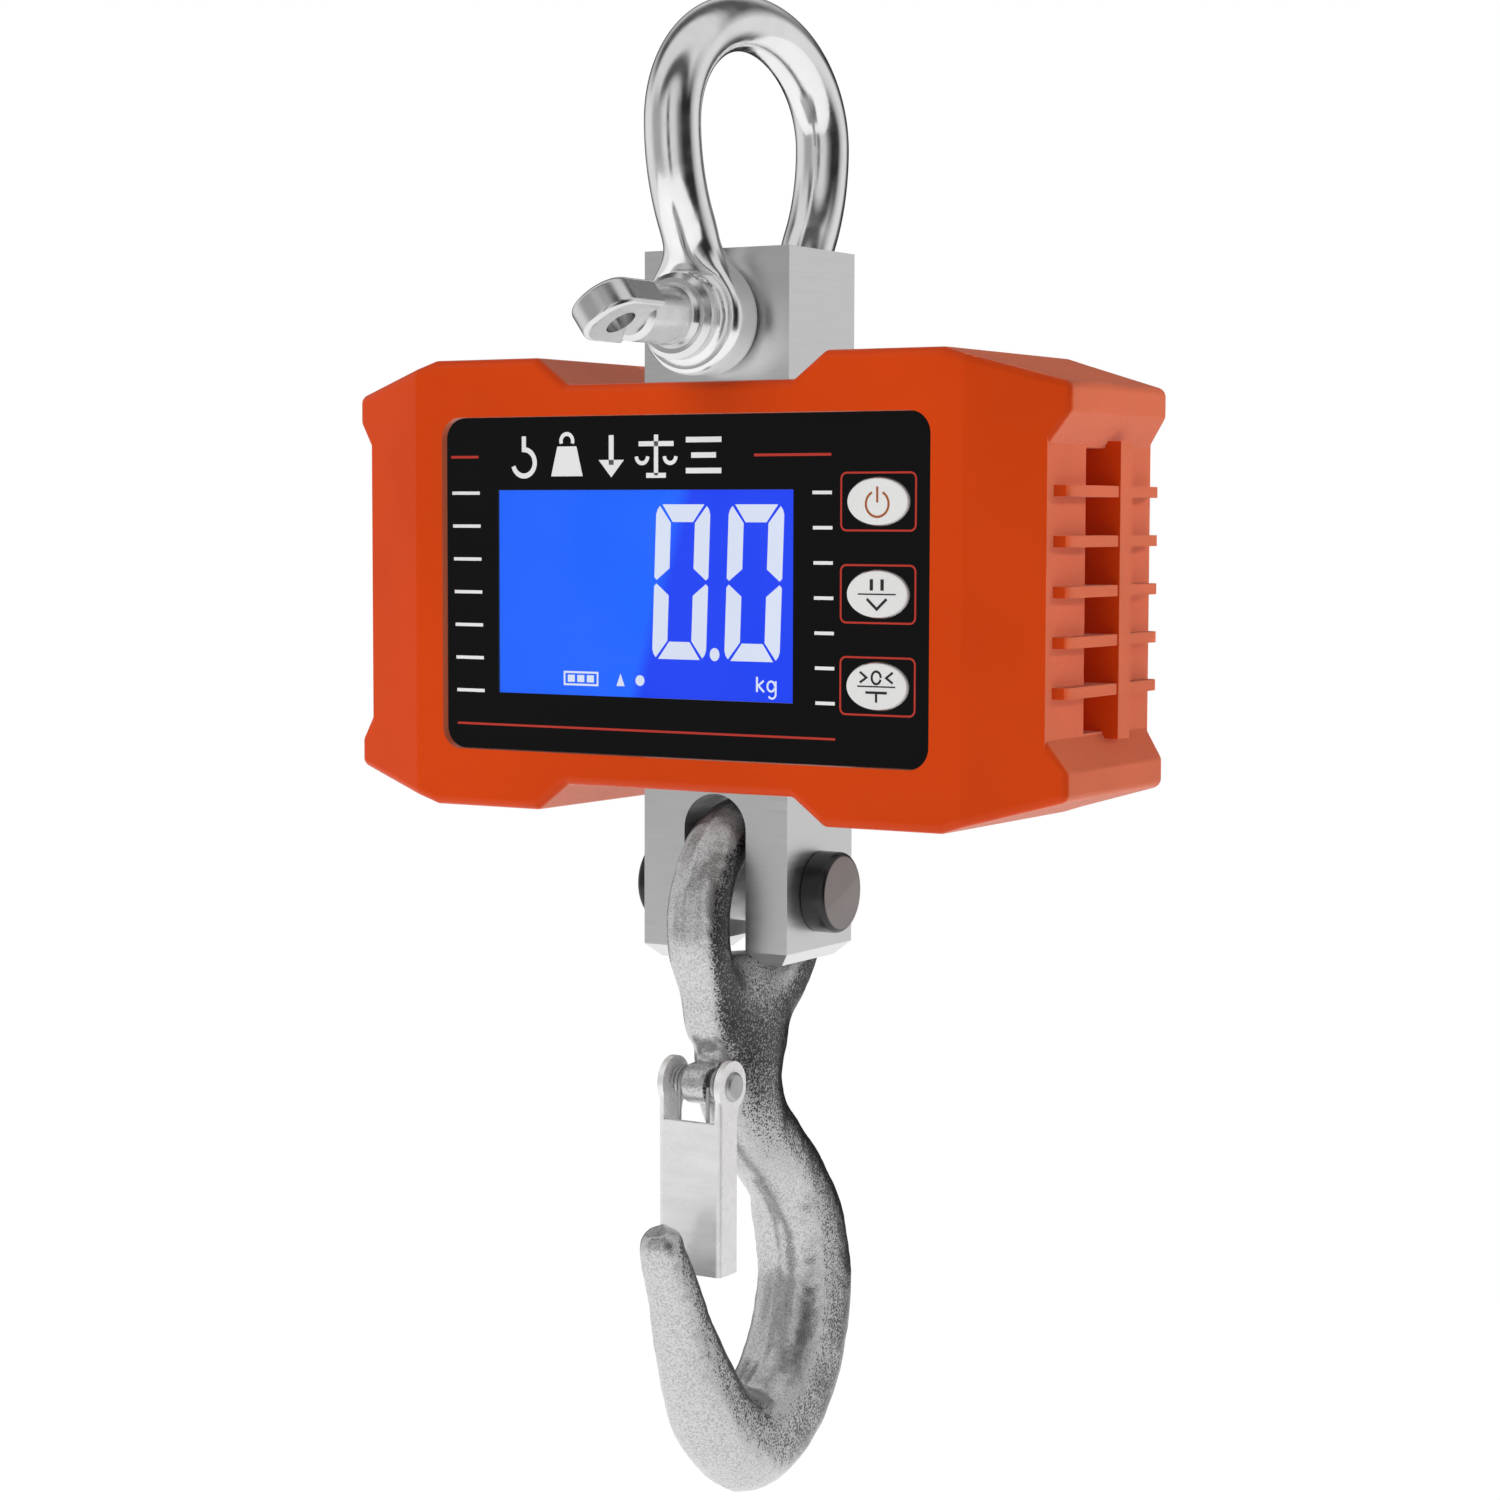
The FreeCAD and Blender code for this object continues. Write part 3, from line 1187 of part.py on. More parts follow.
def battery_leads():
    """Two leads from the battery holder to their socket."""
    rear = -dim.board_front + dim.board_thickness + dim.socket_depth
    start = dim.cell_y - dim.cell_size / 2 - dim.tray_wall
    group = DOC.addObject("Part::Compound", "battery_leads")
    spots = [(dim.battery_socket + dim.lead_half * side, rear, -dim.case_middle) for side in SIDES]
    group.Links = [rod("lead_%d" % row, "y", spot, start - rear, dim.lead_size / 2)
                   for row, spot in enumerate(spots)]
    node("battery_leads", group)


# ---- battery -------------------------------------------------------------------------

def cell_centres():
    middle = (dim.door_left + dim.door_right) / 2
    return (middle - dim.cell_pitch / 2, middle + dim.cell_pitch / 2)


def battery():
    """Open tray with two round cells, behind the door."""
    middle = -dim.case_middle
    low = middle - dim.cell_length / 2
    high = middle + dim.cell_length / 2
    radius = dim.cell_size / 2
    bed = radius + dim.cell_ease
    front = dim.cell_y - radius - dim.tray_wall
    rim = dim.cell_y + dim.tray_rise
    tray = box("tray", (dim.door_left - dim.tray_side, front, low - dim.tray_end),
               (dim.door_right + dim.tray_side, rim, high + dim.tray_end))
    can = dim.cell_length - dim.cell_button_height
    beds = []
    for row, x in enumerate(cell_centres(), 1):
        beds.append(rod("bed_%d" % row, "z", (x, dim.cell_y, low), dim.cell_length, bed))
        beds.append(box("bed_way_%d" % row, (x - bed, dim.cell_y, low), (x + bed, rim + PAST, high)))
        shell = rod("cell_shell_%d" % row, "z", (x, dim.cell_y, low), can, radius)
        button = rod("cell_button_%d" % row, "z", (x, dim.cell_y, low + radius), dim.cell_length - radius,
                     dim.cell_button / 2)
        node("battery_cell_%d" % row, fuse("battery_cell_%d" % row, [shell, button]))
    node("battery_holder", cut("battery_holder", tray, beds))


def battery_door():
    """Flat door with two countersunk screw holes and finger ridges."""
    owner = body("battery_door")
    middle = -dim.case_middle
    outline = sketch(owner, "XZ_Plane", -dim.case_back)
    rectangle(outline, dim.door_left, dim.door_right, middle - dim.door_half, middle + dim.door_half)
    plate = pad(owner, outline, dim.door_thickness)
    for x, z in door_screw_spots():
        sink = circle(sketch(owner, "XZ_Plane", -dim.case_back), x, z, dim.door_sink)
        pocket(owner, sink, dim.door_sink_depth, back=True)
        way = circle(sketch(owner, "XZ_Plane", -dim.case_back), x, z, dim.door_way)
        plate = pocket(owner, way, dim.door_thickness * 4, both=True)
    x = (dim.door_left + dim.door_right) / 2
    half = dim.grip_width / 2
    for step in GRIP_STEPS:
        height = middle + dim.grip_pitch * step
        groove = sketch(owner, "XZ_Plane", -dim.case_back)
        rectangle(groove, x - dim.grip_half, x + dim.grip_half, height - half, height + half)
        plate = pocket(owner, groove, dim.grip_depth, back=True)
    owner.Tip = plate


# ---- hook ----------------------------------------------------------------------------

def ring_section(centre, along, half_width, half_thickness):
    """A closed oval across the shank: one smooth curve, in four quarters."""
    across = Vector(0, -along.z, along.y)
    points = []
    for step in range(SECTION_POINTS):
        angle = 2 * math.pi * step / SECTION_POINTS
        points.append(centre + across * (half_width * math.cos(angle))
                      + Vector(half_thickness * math.sin(angle), 0, 0))
    even = [step / SECTION_POINTS for step in range(SECTION_POINTS + 1)]
    curve = Part.BSplineCurve()
    curve.interpolate(Points=points, PeriodicFlag=True, Parameters=even)
    return Part.Wire([curve.toShape(row / QUARTERS, (row + 1) / QUARTERS) for row in range(QUARTERS)])


def hook_shank():
    """Loft through the oval sections, closed at the tip by a ball."""
    centres = [Vector(0, y, z) for y, z, _, _ in HOOK_STATIONS]
    last = len(centres) - 1
    rings = []
    for index, (_, _, wide, thick) in enumerate(HOOK_STATIONS):
        if index < LEVEL_STATIONS:
            along = Vector(0, 0, -1)
        else:
            along = centres[min(index + 1, last)] - centres[index - 1]
            along.normalize()
        rings.append(ring_section(centres[index], along, wide, thick))
    shank = Part.makeLoft(rings, True, False)
    tip = Part.makeSphere((HOOK_STATIONS[-1][2] + HOOK_STATIONS[-1][3]) / 2, centres[-1])
    return shank.fuse(tip)


def hook_eye():
    """Ring with an oval section round the hook pin."""
    inner = dim.eye_inner.value
    outer = dim.eye_outer.value
    centre = Vector(0, 0, -dim.eye_drop.value)
    spot = centre + Vector(0, (inner + outer) / 2, 0)
    half_thick = dim.eye_thickness.value / 2
    half_wide = (outer - inner) / 2
    rim = Part.Ellipse(spot + Vector(half_thick, 0, 0), spot + Vector(0, half_wide, 0), spot)
    halves = [Part.ArcOfEllipse(rim, 0, math.pi), Part.ArcOfEllipse(rim, math.pi, math.pi * 2)]
    face = Part.Face(Part.Wire([half.toShape() for half in halves]))
    return face.revolve(centre, Vector(1, 0, 0), FULL_TURN)


def hook_body():
    """Forged hook: eye, shank, and the lug that carries the latch."""
    pivot = Vector(0, -dim.latch_y.value, -dim.latch_drop.value)
    half = dim.lug_half.value
    radius = dim.lug_radius.value
    side = Vector(1, 0, 0)
    lug = Part.makeCylinder(radius, half * 2, pivot - side * half, side)
    web = Part.makeBox(half * 2, dim.lug_root.value, radius * 2, pivot - Vector(half, 0, radius))
    bore = dim.latch_pin_size.value / 2 + dim.snug.value
    hole = Part.makeCylinder(bore, dim.latch_width.value, pivot - side * (dim.latch_width.value / 2), side)
    shape = hook_shank().fuse([hook_eye(), lug, web]).cut(hole)
    feature("hook_body", shape.removeSplitter())


def latch_plate():
    """Pressed channel with a cheek on each side of the lug."""
    owner = body("latch_plate")
    half = dim.latch_width / 2
    sheet = dim.latch_sheet
    face = -dim.latch_face
    back = -dim.latch_back
    channel = sketch(owner, "XY_Plane", -dim.latch_end)
    polygon(channel, (
        (-half, face), (half, face), (half, back), (half - sheet, back), (half - sheet, face + sheet),
        (-half + sheet, face + sheet), (-half + sheet, back), (-half, back),
    ))
    pad(owner, channel, dim.latch_end - dim.latch_shoulder)
    cheek = sketch(owner, "YZ_Plane")
    polygon(cheek, (
        (face, -dim.latch_shoulder), (back, -dim.latch_shoulder),
        (-dim.latch_y + dim.latch_cheek_back, -dim.latch_drop),
        (-dim.latch_y - dim.latch_cheek_front, -dim.latch_drop),
    ))
    pad(owner, cheek, dim.latch_width, both=True)
    pad(owner, circle(sketch(owner, "YZ_Plane"), -dim.latch_y, -dim.latch_drop, dim.latch_ear * 2),
        dim.latch_width, both=True)
    gap = sketch(owner, "YZ_Plane")
    reach = dim.latch_ear + PAST
    rectangle(gap, -dim.latch_y - reach, -dim.latch_y + reach, -dim.latch_shoulder, -dim.latch_drop + reach)
    pocket(owner, gap, dim.latch_width - sheet * 2, both=True)
    hole = circle(sketch(owner, "YZ_Plane"), -dim.latch_y, -dim.latch_drop, dim.latch_pin_size)
    last = pocket(owner, hole, dim.latch_width * 2, both=True)
    face_y = face.value

    def outer_bend(edge):
        return is_along_z(edge) and abs(edge.BoundBox.Center.y - face_y) < 0.01

    dress(owner, "PartDesign::Fillet", "latch_bends", last, outer_bend, dim.latch_bend)


def latch_pin():
    """Rivet through the cheeks and the lug."""
    owner = body("latch_pin")
    place(owner, (0, -dim.latch_y, -dim.latch_drop))
    half = dim.latch_width / 2
    radius = dim.latch_pin_size / 2
    head = radius + dim.latch_head
    bevel = dim.latch_head_bevel
    end = half + dim.latch_head_height
    outline = (
        (-end, 0), (end, 0), (end, head - bevel), (end - bevel, head), (half, head), (half, radius),
        (-half, radius), (-half, head), (bevel - end, head), (-end, head - bevel),
    )
    revolve(owner, polygon(sketch(owner, "XY_Plane"), outline), "H_Axis")


def latch_spring():
    """Torsion coil on each side of the lug, its leg lying inside the latch."""
    wire = dim.spring_wire.value
    radius = dim.spring_radius.value
    pitch = wire * dim.spring_pitch.value
    pivot = Vector(0, -dim.latch_y.value, -dim.latch_drop.value)
    coils = []
    for side in SIDES:
        helix = Part.makeHelix(pitch, pitch * SPRING_TURNS, radius)
        section = Part.Wire(Part.makeCircle(wire / 2, Vector(radius, 0, 0), Vector(0, 1, 0)))
        coil = Part.Wire(helix.Edges).makePipeShell([section], True, True)
        leg = Part.makeCylinder(wire / 2, dim.spring_leg.value, Vector(radius, 0, 0), Vector(0, 1, 0))
        whole = coil.fuse(leg)
        whole.rotate(Vector(), Vector(0, 0, 1), 180)
        whole.rotate(Vector(), Vector(1, 1, 1), 120)
        if side < 0:
            whole = whole.mirror(Vector(), Vector(1, 0, 0))
        whole.translate(pivot + Vector(dim.spring_start.value * side, 0, 0))
        coils.append(whole)
    feature("latch_spring", Part.makeCompound(coils))


# ---- build ---------------------------------------------------------------------------

def build():
    shackle_bow()
    shackle_pin()
    load_cell()
    gauge_covers()
    hook_pin()
    pin_caps()
    case = recessed(case_solid())
    room = case_room()
    ribs = side_ribs()
    cutters = side_pockets()
    gasket = gasket_ring()
    front_shell(case, room, ribs, cutters, gasket)
    rear_shell(case, room, ribs, cutters, gasket)
    seals()
    all_screws()
    front_panel()
    display()
    buttons()
    switches()
    circuit_board()
    connectors()
    gauge_cable()
    battery_leads()
    battery()
    battery_door()
    hook_body()
    latch_plate()
    latch_pin()
    latch_spring()


def is_sound(shape):
    """Whether a shape is whole: valid, and its facets enclose the volume it claims."""
    if shape.isNull() or not shape.isValid() or shape.Volume <= 0:
        return False
    points, facets = shape.tessellate(FACET_TOLERANCE)
    enclosed = sum(points[a].dot(points[b].cross(points[c])) for a, b, c in facets) / 6
    return abs(enclosed / shape.Volume - 1) < VOLUME_TOLERANCE


def check():
    """Stop if any object failed, any cut removed nothing or any sub-part is unsound."""
    for item in DOC.Objects:
        if "Invalid" in item.State or "Error" in item.State:
            raise RuntimeError("%s did not build: %s" % (item.Name, item.State))
        if item.TypeId == "PartDesign::Pocket":
            if item.Shape.Volume > item.BaseFeature.Shape.Volume - 0.01:
                raise RuntimeError(item.Name + " cuts nothing")
    unsound = [item.Label for item in NODES if not is_sound(item.Shape)]
    if unsound:
        raise RuntimeError("not sound: " + ", ".join(unsound))


def write():
    os.makedirs("parts", exist_ok=True)
    for item in NODES:
        item.Shape.exportStep("parts/%s.step" % item.Label)
        print("%-20s %10.1f mm3" % (item.Label, item.Shape.Volume))


build()
DOC.recompute()
check()
write()
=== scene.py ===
import json
import math

import bmesh
import bpy
import numpy as np
from mathutils import Matrix, Vector, noise


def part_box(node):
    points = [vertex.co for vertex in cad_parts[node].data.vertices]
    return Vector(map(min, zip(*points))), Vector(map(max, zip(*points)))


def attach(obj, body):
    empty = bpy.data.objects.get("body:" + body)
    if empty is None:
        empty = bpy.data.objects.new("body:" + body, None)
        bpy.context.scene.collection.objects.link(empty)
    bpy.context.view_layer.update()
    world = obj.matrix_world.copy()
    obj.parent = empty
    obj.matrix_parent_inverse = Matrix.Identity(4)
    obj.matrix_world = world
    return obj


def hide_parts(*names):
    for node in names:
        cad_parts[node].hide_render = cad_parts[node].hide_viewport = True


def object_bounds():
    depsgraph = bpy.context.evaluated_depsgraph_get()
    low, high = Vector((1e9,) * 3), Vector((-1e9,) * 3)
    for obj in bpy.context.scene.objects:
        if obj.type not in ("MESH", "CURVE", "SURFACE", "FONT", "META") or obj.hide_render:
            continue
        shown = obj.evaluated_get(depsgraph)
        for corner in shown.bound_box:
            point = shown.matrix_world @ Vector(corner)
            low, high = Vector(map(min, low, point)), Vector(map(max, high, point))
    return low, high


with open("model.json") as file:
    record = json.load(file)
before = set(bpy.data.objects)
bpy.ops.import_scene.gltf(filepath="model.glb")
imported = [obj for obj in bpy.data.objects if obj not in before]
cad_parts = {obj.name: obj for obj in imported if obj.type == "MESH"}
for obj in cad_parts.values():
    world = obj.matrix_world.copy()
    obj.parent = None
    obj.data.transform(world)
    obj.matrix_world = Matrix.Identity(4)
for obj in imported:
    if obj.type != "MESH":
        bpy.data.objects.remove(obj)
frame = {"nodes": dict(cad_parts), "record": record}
CAD_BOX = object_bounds()
NODES = frame["nodes"]
MM = 0.001

# ---- camera, light, floor ------------------------------------------------------------

CAMERA_TARGET = Vector((-0.0005, 0.0014, -0.1586))
CAMERA_AZIMUTH = 31.0
CAMERA_ELEVATION = 4.26
CAMERA_DISTANCE = 0.7205
CAMERA_ROLL = 0.16
CAMERA_LENS = 74.88
FLOOR_DROP = 0.45
FLOOR_REACH = 2.0

# What gloss sees round the object: degrees from +X towards +Y, brightness.
STUDIO_FLAGS = (
    (-180, 1.0), (-158, 1.0), (-148, 0.75), (-136, 0.50), (-112, 0.50), (-102, 0.75), (-93, 0.95),
    (-84, 0.95), (-79, 0.15), (-73, 0.15), (-67, 0.95), (-48, 0.85), (-34, 0.3), (-18, 0.03),
    (14, 0.03), (30, 0.7), (44, 1.0), (66, 1.0), (78, 0.15), (90, 0.03), (144, 0.03), (158, 0.6),
    (170, 1.0), (180, 1.0),
)
# The same overhead: the cosine of the angle from the camera's side, from -1 to 1, and the
# brightness there. It starts to show at the first height of the unit sphere and is alone
# at the second.
OVERHEAD_RINGS = (
    (-1.0, 0.7), (-0.75, 0.9), (-0.55, 0.12), (-0.30, 0.12), (-0.12, 0.95), (0.42, 0.95),
    (0.56, 0.10), (0.72, 0.10), (0.84, 0.85), (1.0, 0.9),
)
OVERHEAD = (0.28, 0.60)
# How bright the studio is to the camera, to dull surfaces and to gloss.
STUDIO_LEVELS = (("backdrop", 1.0), ("fill", 0.36), ("boxes", 0.80))
# Each light: name, place, where it points, size, power in watts and spread in degrees.
LIGHTS = (
    ("key_light", (-0.55, -0.95, 0.6), (0, 0, -0.15), (0.7, 0.7), 6.6, 180),
    ("fill_light", (0.95, -0.45, 0.1), (0, 0, -0.15), (0.6, 1.0), 0.5, 180),
    ("rim_light", (0.95, 0.7, 0.3), (0.05, 0, -0.09), (0.12, 0.12), 0.035, 12),
)
FLOOR_GREY = 0.45
FLOOR_GLOW = 0.84


def camera_side():
    """The direction from the object to the camera."""
    turn = math.radians(CAMERA_AZIMUTH)
    lift = math.radians(CAMERA_ELEVATION)
    return Vector((math.sin(turn) * math.cos(lift), -math.cos(turn) * math.cos(lift), math.sin(lift)))


def add_camera():
    """The camera at the viewing angle of the product picture."""
    back = camera_side()
    data = bpy.data.cameras.new("camera")
    data.lens = CAMERA_LENS
    data.sensor_width = 36
    data.clip_start = 0.01
    camera = bpy.data.objects.new("camera", data)
    bpy.context.scene.collection.objects.link(camera)
    aim = (-back).to_track_quat("-Z", "Y").to_matrix().to_4x4()
    roll = Matrix.Rotation(math.radians(CAMERA_ROLL), 4, "Z")
    camera.matrix_world = Matrix.Translation(CAMERA_TARGET + back * CAMERA_DISTANCE) @ aim @ roll
    bpy.context.scene.camera = camera


def brightness_ramp(tree, value, stops):
    """A ramp of greys along a value from 0 to 1."""
    ramp = tree.nodes.new("ShaderNodeValToRGB")
    points = ramp.color_ramp.elements
    while len(points) < len(stops):
        points.new(0.5)
    for point, (spot, level) in zip(points, stops):
        point.position = spot
        point.color = (level, level, level, 1)
    tree.links.new(value, ramp.inputs["Fac"])
    return ramp.outputs["Color"]


def area_light(name, place, aim, size, power, spread):
    """A soft light that gloss doesn't show."""
    data = bpy.data.lights.new(name, "AREA")
    data.shape = "RECTANGLE"
    data.size, data.size_y = size
    data.energy = power
    data.spread = math.radians(spread)
    light = bpy.data.objects.new(name, data)
    bpy.context.scene.collection.objects.link(light)
    direction = Vector(aim) - Vector(place)
    light.rotation_euler = direction.to_track_quat("-Z", "Y").to_euler()
    light.location = place
    light.visible_glossy = False


def add_world():
    """A white studio: what gloss sees has a few soft dark flags between the light boxes."""
    world = bpy.data.worlds.new("studio")
    bpy.context.scene.world = world
    world.use_nodes = True
    tree = world.node_tree
    tree.nodes.clear()
    out = tree.nodes.new("ShaderNodeOutputWorld")
    shades = {}
    for name, strength in STUDIO_LEVELS:
        shades[name] = tree.nodes.new("ShaderNodeBackground")
        shades[name].inputs["Color"].default_value = (1, 1, 1, 1)
        shades[name].inputs["Strength"].default_value = strength
    path = tree.nodes.new("ShaderNodeLightPath")
    coord = tree.nodes.new("ShaderNodeTexCoord")
    split = tree.nodes.new("ShaderNodeSeparateXYZ")
    tree.links.new(coord.outputs["Generated"], split.inputs[0])
    angle = tree.nodes.new("ShaderNodeMath")
    angle.operation = "ARCTAN2"
    tree.links.new(split.outputs["Y"], angle.inputs[0])
    tree.links.new(split.outputs["X"], angle.inputs[1])
    scaled = tree.nodes.new("ShaderNodeMapRange")
    scaled.inputs["From Min"].default_value = -math.pi
    scaled.inputs["From Max"].default_value = math.pi
    tree.links.new(angle.outputs[0], scaled.inputs["Value"])
    flags = brightness_ramp(tree, scaled.outputs["Result"],
                            [((degrees + 180) / 360, level) for degrees, level in STUDIO_FLAGS])
    height = tree.nodes.new("ShaderNodeMapRange")
    height.inputs["From Min"].default_value, height.inputs["From Max"].default_value = OVERHEAD
    tree.links.new(split.outputs["Z"], height.inputs["Value"])
    toward = tree.nodes.new("ShaderNodeVectorMath")
    toward.operation = "DOT_PRODUCT"
    toward.inputs[1].default_value = camera_side()
    tree.links.new(coord.outputs["Generated"], toward.inputs[0])
    share = tree.nodes.new("ShaderNodeMapRange")
    share.inputs["From Min"].default_value = -1
    tree.links.new(toward.outputs["Value"], share.inputs["Value"])
    rings = brightness_ramp(tree, share.outputs["Result"],
                            [((cosine + 1) / 2, level) for cosine, level in OVERHEAD_RINGS])
    roof = tree.nodes.new("ShaderNodeMix")
    roof.data_type = "RGBA"
    tree.links.new(height.outputs["Result"], roof.inputs["Factor"])
    tree.links.new(flags, roof.inputs[6])
    tree.links.new(rings, roof.inputs[7])
    tree.links.new(roof.outputs[2], shades["boxes"].inputs["Color"])
    glossy = tree.nodes.new("ShaderNodeMixShader")
    tree.links.new(path.outputs["Is Glossy Ray"], glossy.inputs["Fac"])
    tree.links.new(shades["fill"].outputs[0], glossy.inputs[1])
    tree.links.new(shades["boxes"].outputs[0], glossy.inputs[2])
    seen = tree.nodes.new("ShaderNodeMixShader")
    tree.links.new(path.outputs["Is Camera Ray"], seen.inputs["Fac"])
    tree.links.new(glossy.outputs[0], seen.inputs[1])
    tree.links.new(shades["backdrop"].outputs[0], seen.inputs[2])
    tree.links.new(seen.outputs[0], out.inputs["Surface"])


def add_studio():
    """The white surroundings, the lights, and a plain floor under the hanging object."""
    add_world()
    for light in LIGHTS:
        area_light(*light)
    low = CAD_BOX[0][2] - FLOOR_DROP
    mesh = bpy.data.meshes.new("floor")
    reach = FLOOR_REACH
    corners = [(-reach, -reach, low), (reach, -reach, low), (reach, reach, low), (-reach, reach, low)]
    mesh.from_pydata(corners, [], [(0, 1, 2, 3)])
    floor = bpy.data.objects.new("floor", mesh)
    bpy.context.scene.collection.objects.link(floor)
    shade = bpy.data.materials.new("floor_white")
    shade.use_nodes = True
    shader = shade.node_tree.nodes["Principled BSDF"]
    shader.inputs["Base Color"].default_value = (FLOOR_GREY, FLOOR_GREY, FLOOR_GREY, 1)
    shader.inputs["Roughness"].default_value = 0.9
    shader.inputs["Emission Color"].default_value = (1, 1, 1, 1)
    shader.inputs["Emission Strength"].default_value = FLOOR_GLOW
    mesh.materials.append(shade)


# ---- materials -----------------------------------------------------------------------

class Shade:
    """A node material built round one Principled shader."""

    def __init__(self, name, roughness=0.5, metallic=0.0, **inputs):
        self.material = bpy.data.materials.new(name)
        self.material.use_nodes = True
        self.tree = self.material.node_tree
        self.shader = self.tree.nodes["Principled BSDF"]
        self.set("Roughness", roughness)
        self.set("Metallic", metallic)
        for key, value in inputs.items():
            self.set(key.replace("_", " "), value)
        self.coord = self.tree.nodes.new("ShaderNodeTexCoord")

    def set(self, name, value):
        self.shader.inputs[name].default_value = value

    def link(self, source, target):
        self.tree.links.new(source, target)

    def mapped(self, stretch):
        """Object coordinates in metres, stretched."""
        node = self.tree.nodes.new("ShaderNodeMapping")
        node.inputs["Scale"].default_value = stretch
        self.link(self.coord.outputs["Object"], node.inputs["Vector"])
        return node.outputs["Vector"]

    def noise(self, scale, detail, rough=0.5, stretch=(1, 1, 1)):
        """A noise fixed to the object, with this many grains per metre."""
        node = self.tree.nodes.new("ShaderNodeTexNoise")
        node.inputs["Scale"].default_value = scale
        node.inputs["Detail"].default_value = detail
        node.inputs["Roughness"].default_value = rough
        self.link(self.mapped(stretch), node.inputs["Vector"])
        return node.outputs["Fac"]

    def ramp(self, value, stops):
        """A colour ramp; each stop is (place, colour)."""
        node = self.tree.nodes.new("ShaderNodeValToRGB")
        points = node.color_ramp.elements
        while len(points) < len(stops):
            points.new(0.5)
        for point, (spot, colour) in zip(points, stops):
            point.position = spot
            point.color = (*colour, 1)
        self.link(value, node.inputs["Fac"])
        return node.outputs["Color"]

    def remap(self, value, low, high, start=0.3, end=0.7):
        """A value from low to high while another goes from start to end."""
        node = self.tree.nodes.new("ShaderNodeMapRange")
        node.inputs["From Min"].default_value = start
        node.inputs["From Max"].default_value = end
        node.inputs["To Min"].default_value = low
        node.inputs["To Max"].default_value = high
        self.link(value, node.inputs["Value"])
        return node.outputs["Result"]

    def bump(self, height, strength, distance):
        """Relief on top of any relief that is there already."""
        node = self.tree.nodes.new("ShaderNodeBump")
        node.inputs["Strength"].default_value = strength
        node.inputs["Distance"].default_value = distance
        self.link(height, node.inputs["Height"])
        previous = self.shader.inputs["Normal"].links
        if previous:
            self.link(previous[0].from_socket, node.inputs["Normal"])
        self.link(node.outputs["Normal"], self.shader.inputs["Normal"])

    def colour(self, socket):
        self.link(socket, self.shader.inputs["Base Color"])

    def roughen(self, value, low, high):
        """Roughness that follows a value between two levels."""
        self.link(self.remap(value, low, high), self.shader.inputs["Roughness"])

    def across(self, direction, start, end):
        """0 to 1 along a direction of the object, between two distances in metres."""
        node = self.tree.nodes.new("ShaderNodeVectorMath")
        node.operation = "DOT_PRODUCT"
        node.inputs[1].default_value = direction
        self.link(self.coord.outputs["Object"], node.inputs[0])
        return self.remap(node.outputs["Value"], 0.0, 1.0, start, end)

    def facing(self, direction, start, end, both=False):
        """0 to 1 as a face of the object turns towards a direction (or either way along it),
        between two cosines."""
        node = self.tree.nodes.new("ShaderNodeVectorMath")
        node.operation = "DOT_PRODUCT"
        node.inputs[1].default_value = direction
        self.link(self.coord.outputs["Normal"], node.inputs[0])
        cosine = node.outputs["Value"]
        if both:
            cosine = self.combine("ABSOLUTE", cosine, 0.0)
        return self.remap(cosine, 0.0, 1.0, start, end)

    def combine(self, operation, first, second):
        """Two values through one step of arithmetic; the second may be a number."""
        node = self.tree.nodes.new("ShaderNodeMath")
        node.operation = operation
        self.link(first, node.inputs[0])
        if isinstance(second, float):
            node.inputs[1].default_value = second
        else:
            self.link(second, node.inputs[1])
        return node.outputs[0]

    def blend(self, share, first, second):
        """One colour going over to another."""
        node = self.tree.nodes.new("ShaderNodeMix")
        node.data_type = "RGBA"
        self.link(share, node.inputs["Factor"])
        self.link(first, node.inputs[6])
        self.link(second, node.inputs[7])
        return node.outputs[2]


def tint(colour, factor):
    """A lighter or darker tone of a colour."""
    return tuple(min(1.0, part * factor) for part in colour)


def chrome(name, colour, roughness):
    """Polished plated steel, faintly uneven."""
    shade = Shade(name, roughness, 1.0)
    patches = shade.noise(90, 4)
    shade.colour(shade.ramp(patches, [(0.3, tint(colour, 0.93)), (0.7, colour)]))
    shade.roughen(shade.noise(260, 3), roughness * 0.7, roughness * 1.5)
    shade.bump(shade.noise(55, 2), 0.12, 0.0004)
    return shade.material


def satin_aluminium(name, colour):
    """Milled aluminium with fine level brush lines."""
    shade = Shade(name, 0.30, 1.0)
    grain = shade.noise(2400, 3, 0.6, (0.03, 0.03, 1))
    shade.colour(shade.ramp(grain, [(0.3, tint(colour, 0.95)), (0.7, colour)]))
    shade.roughen(grain, 0.28, 0.38)
    shade.bump(grain, 0.06, 0.00006)
    return shade.material


# Painted shade on the hook, where its faces would be out of the light: the direction they look in, and
# between which cosines the painted shade comes in. The side is shaded only high up, between the two
# heights.
DARK_BACK = ((0.80, 0.60, 0.0), 0.60, 0.93)
DARK_SIDE = ((0.95, -0.05, -0.3), 0.70, 0.95)
DARK_HEIGHTS = (-0.262, -0.228)
DARK_DEPTH = 2.1


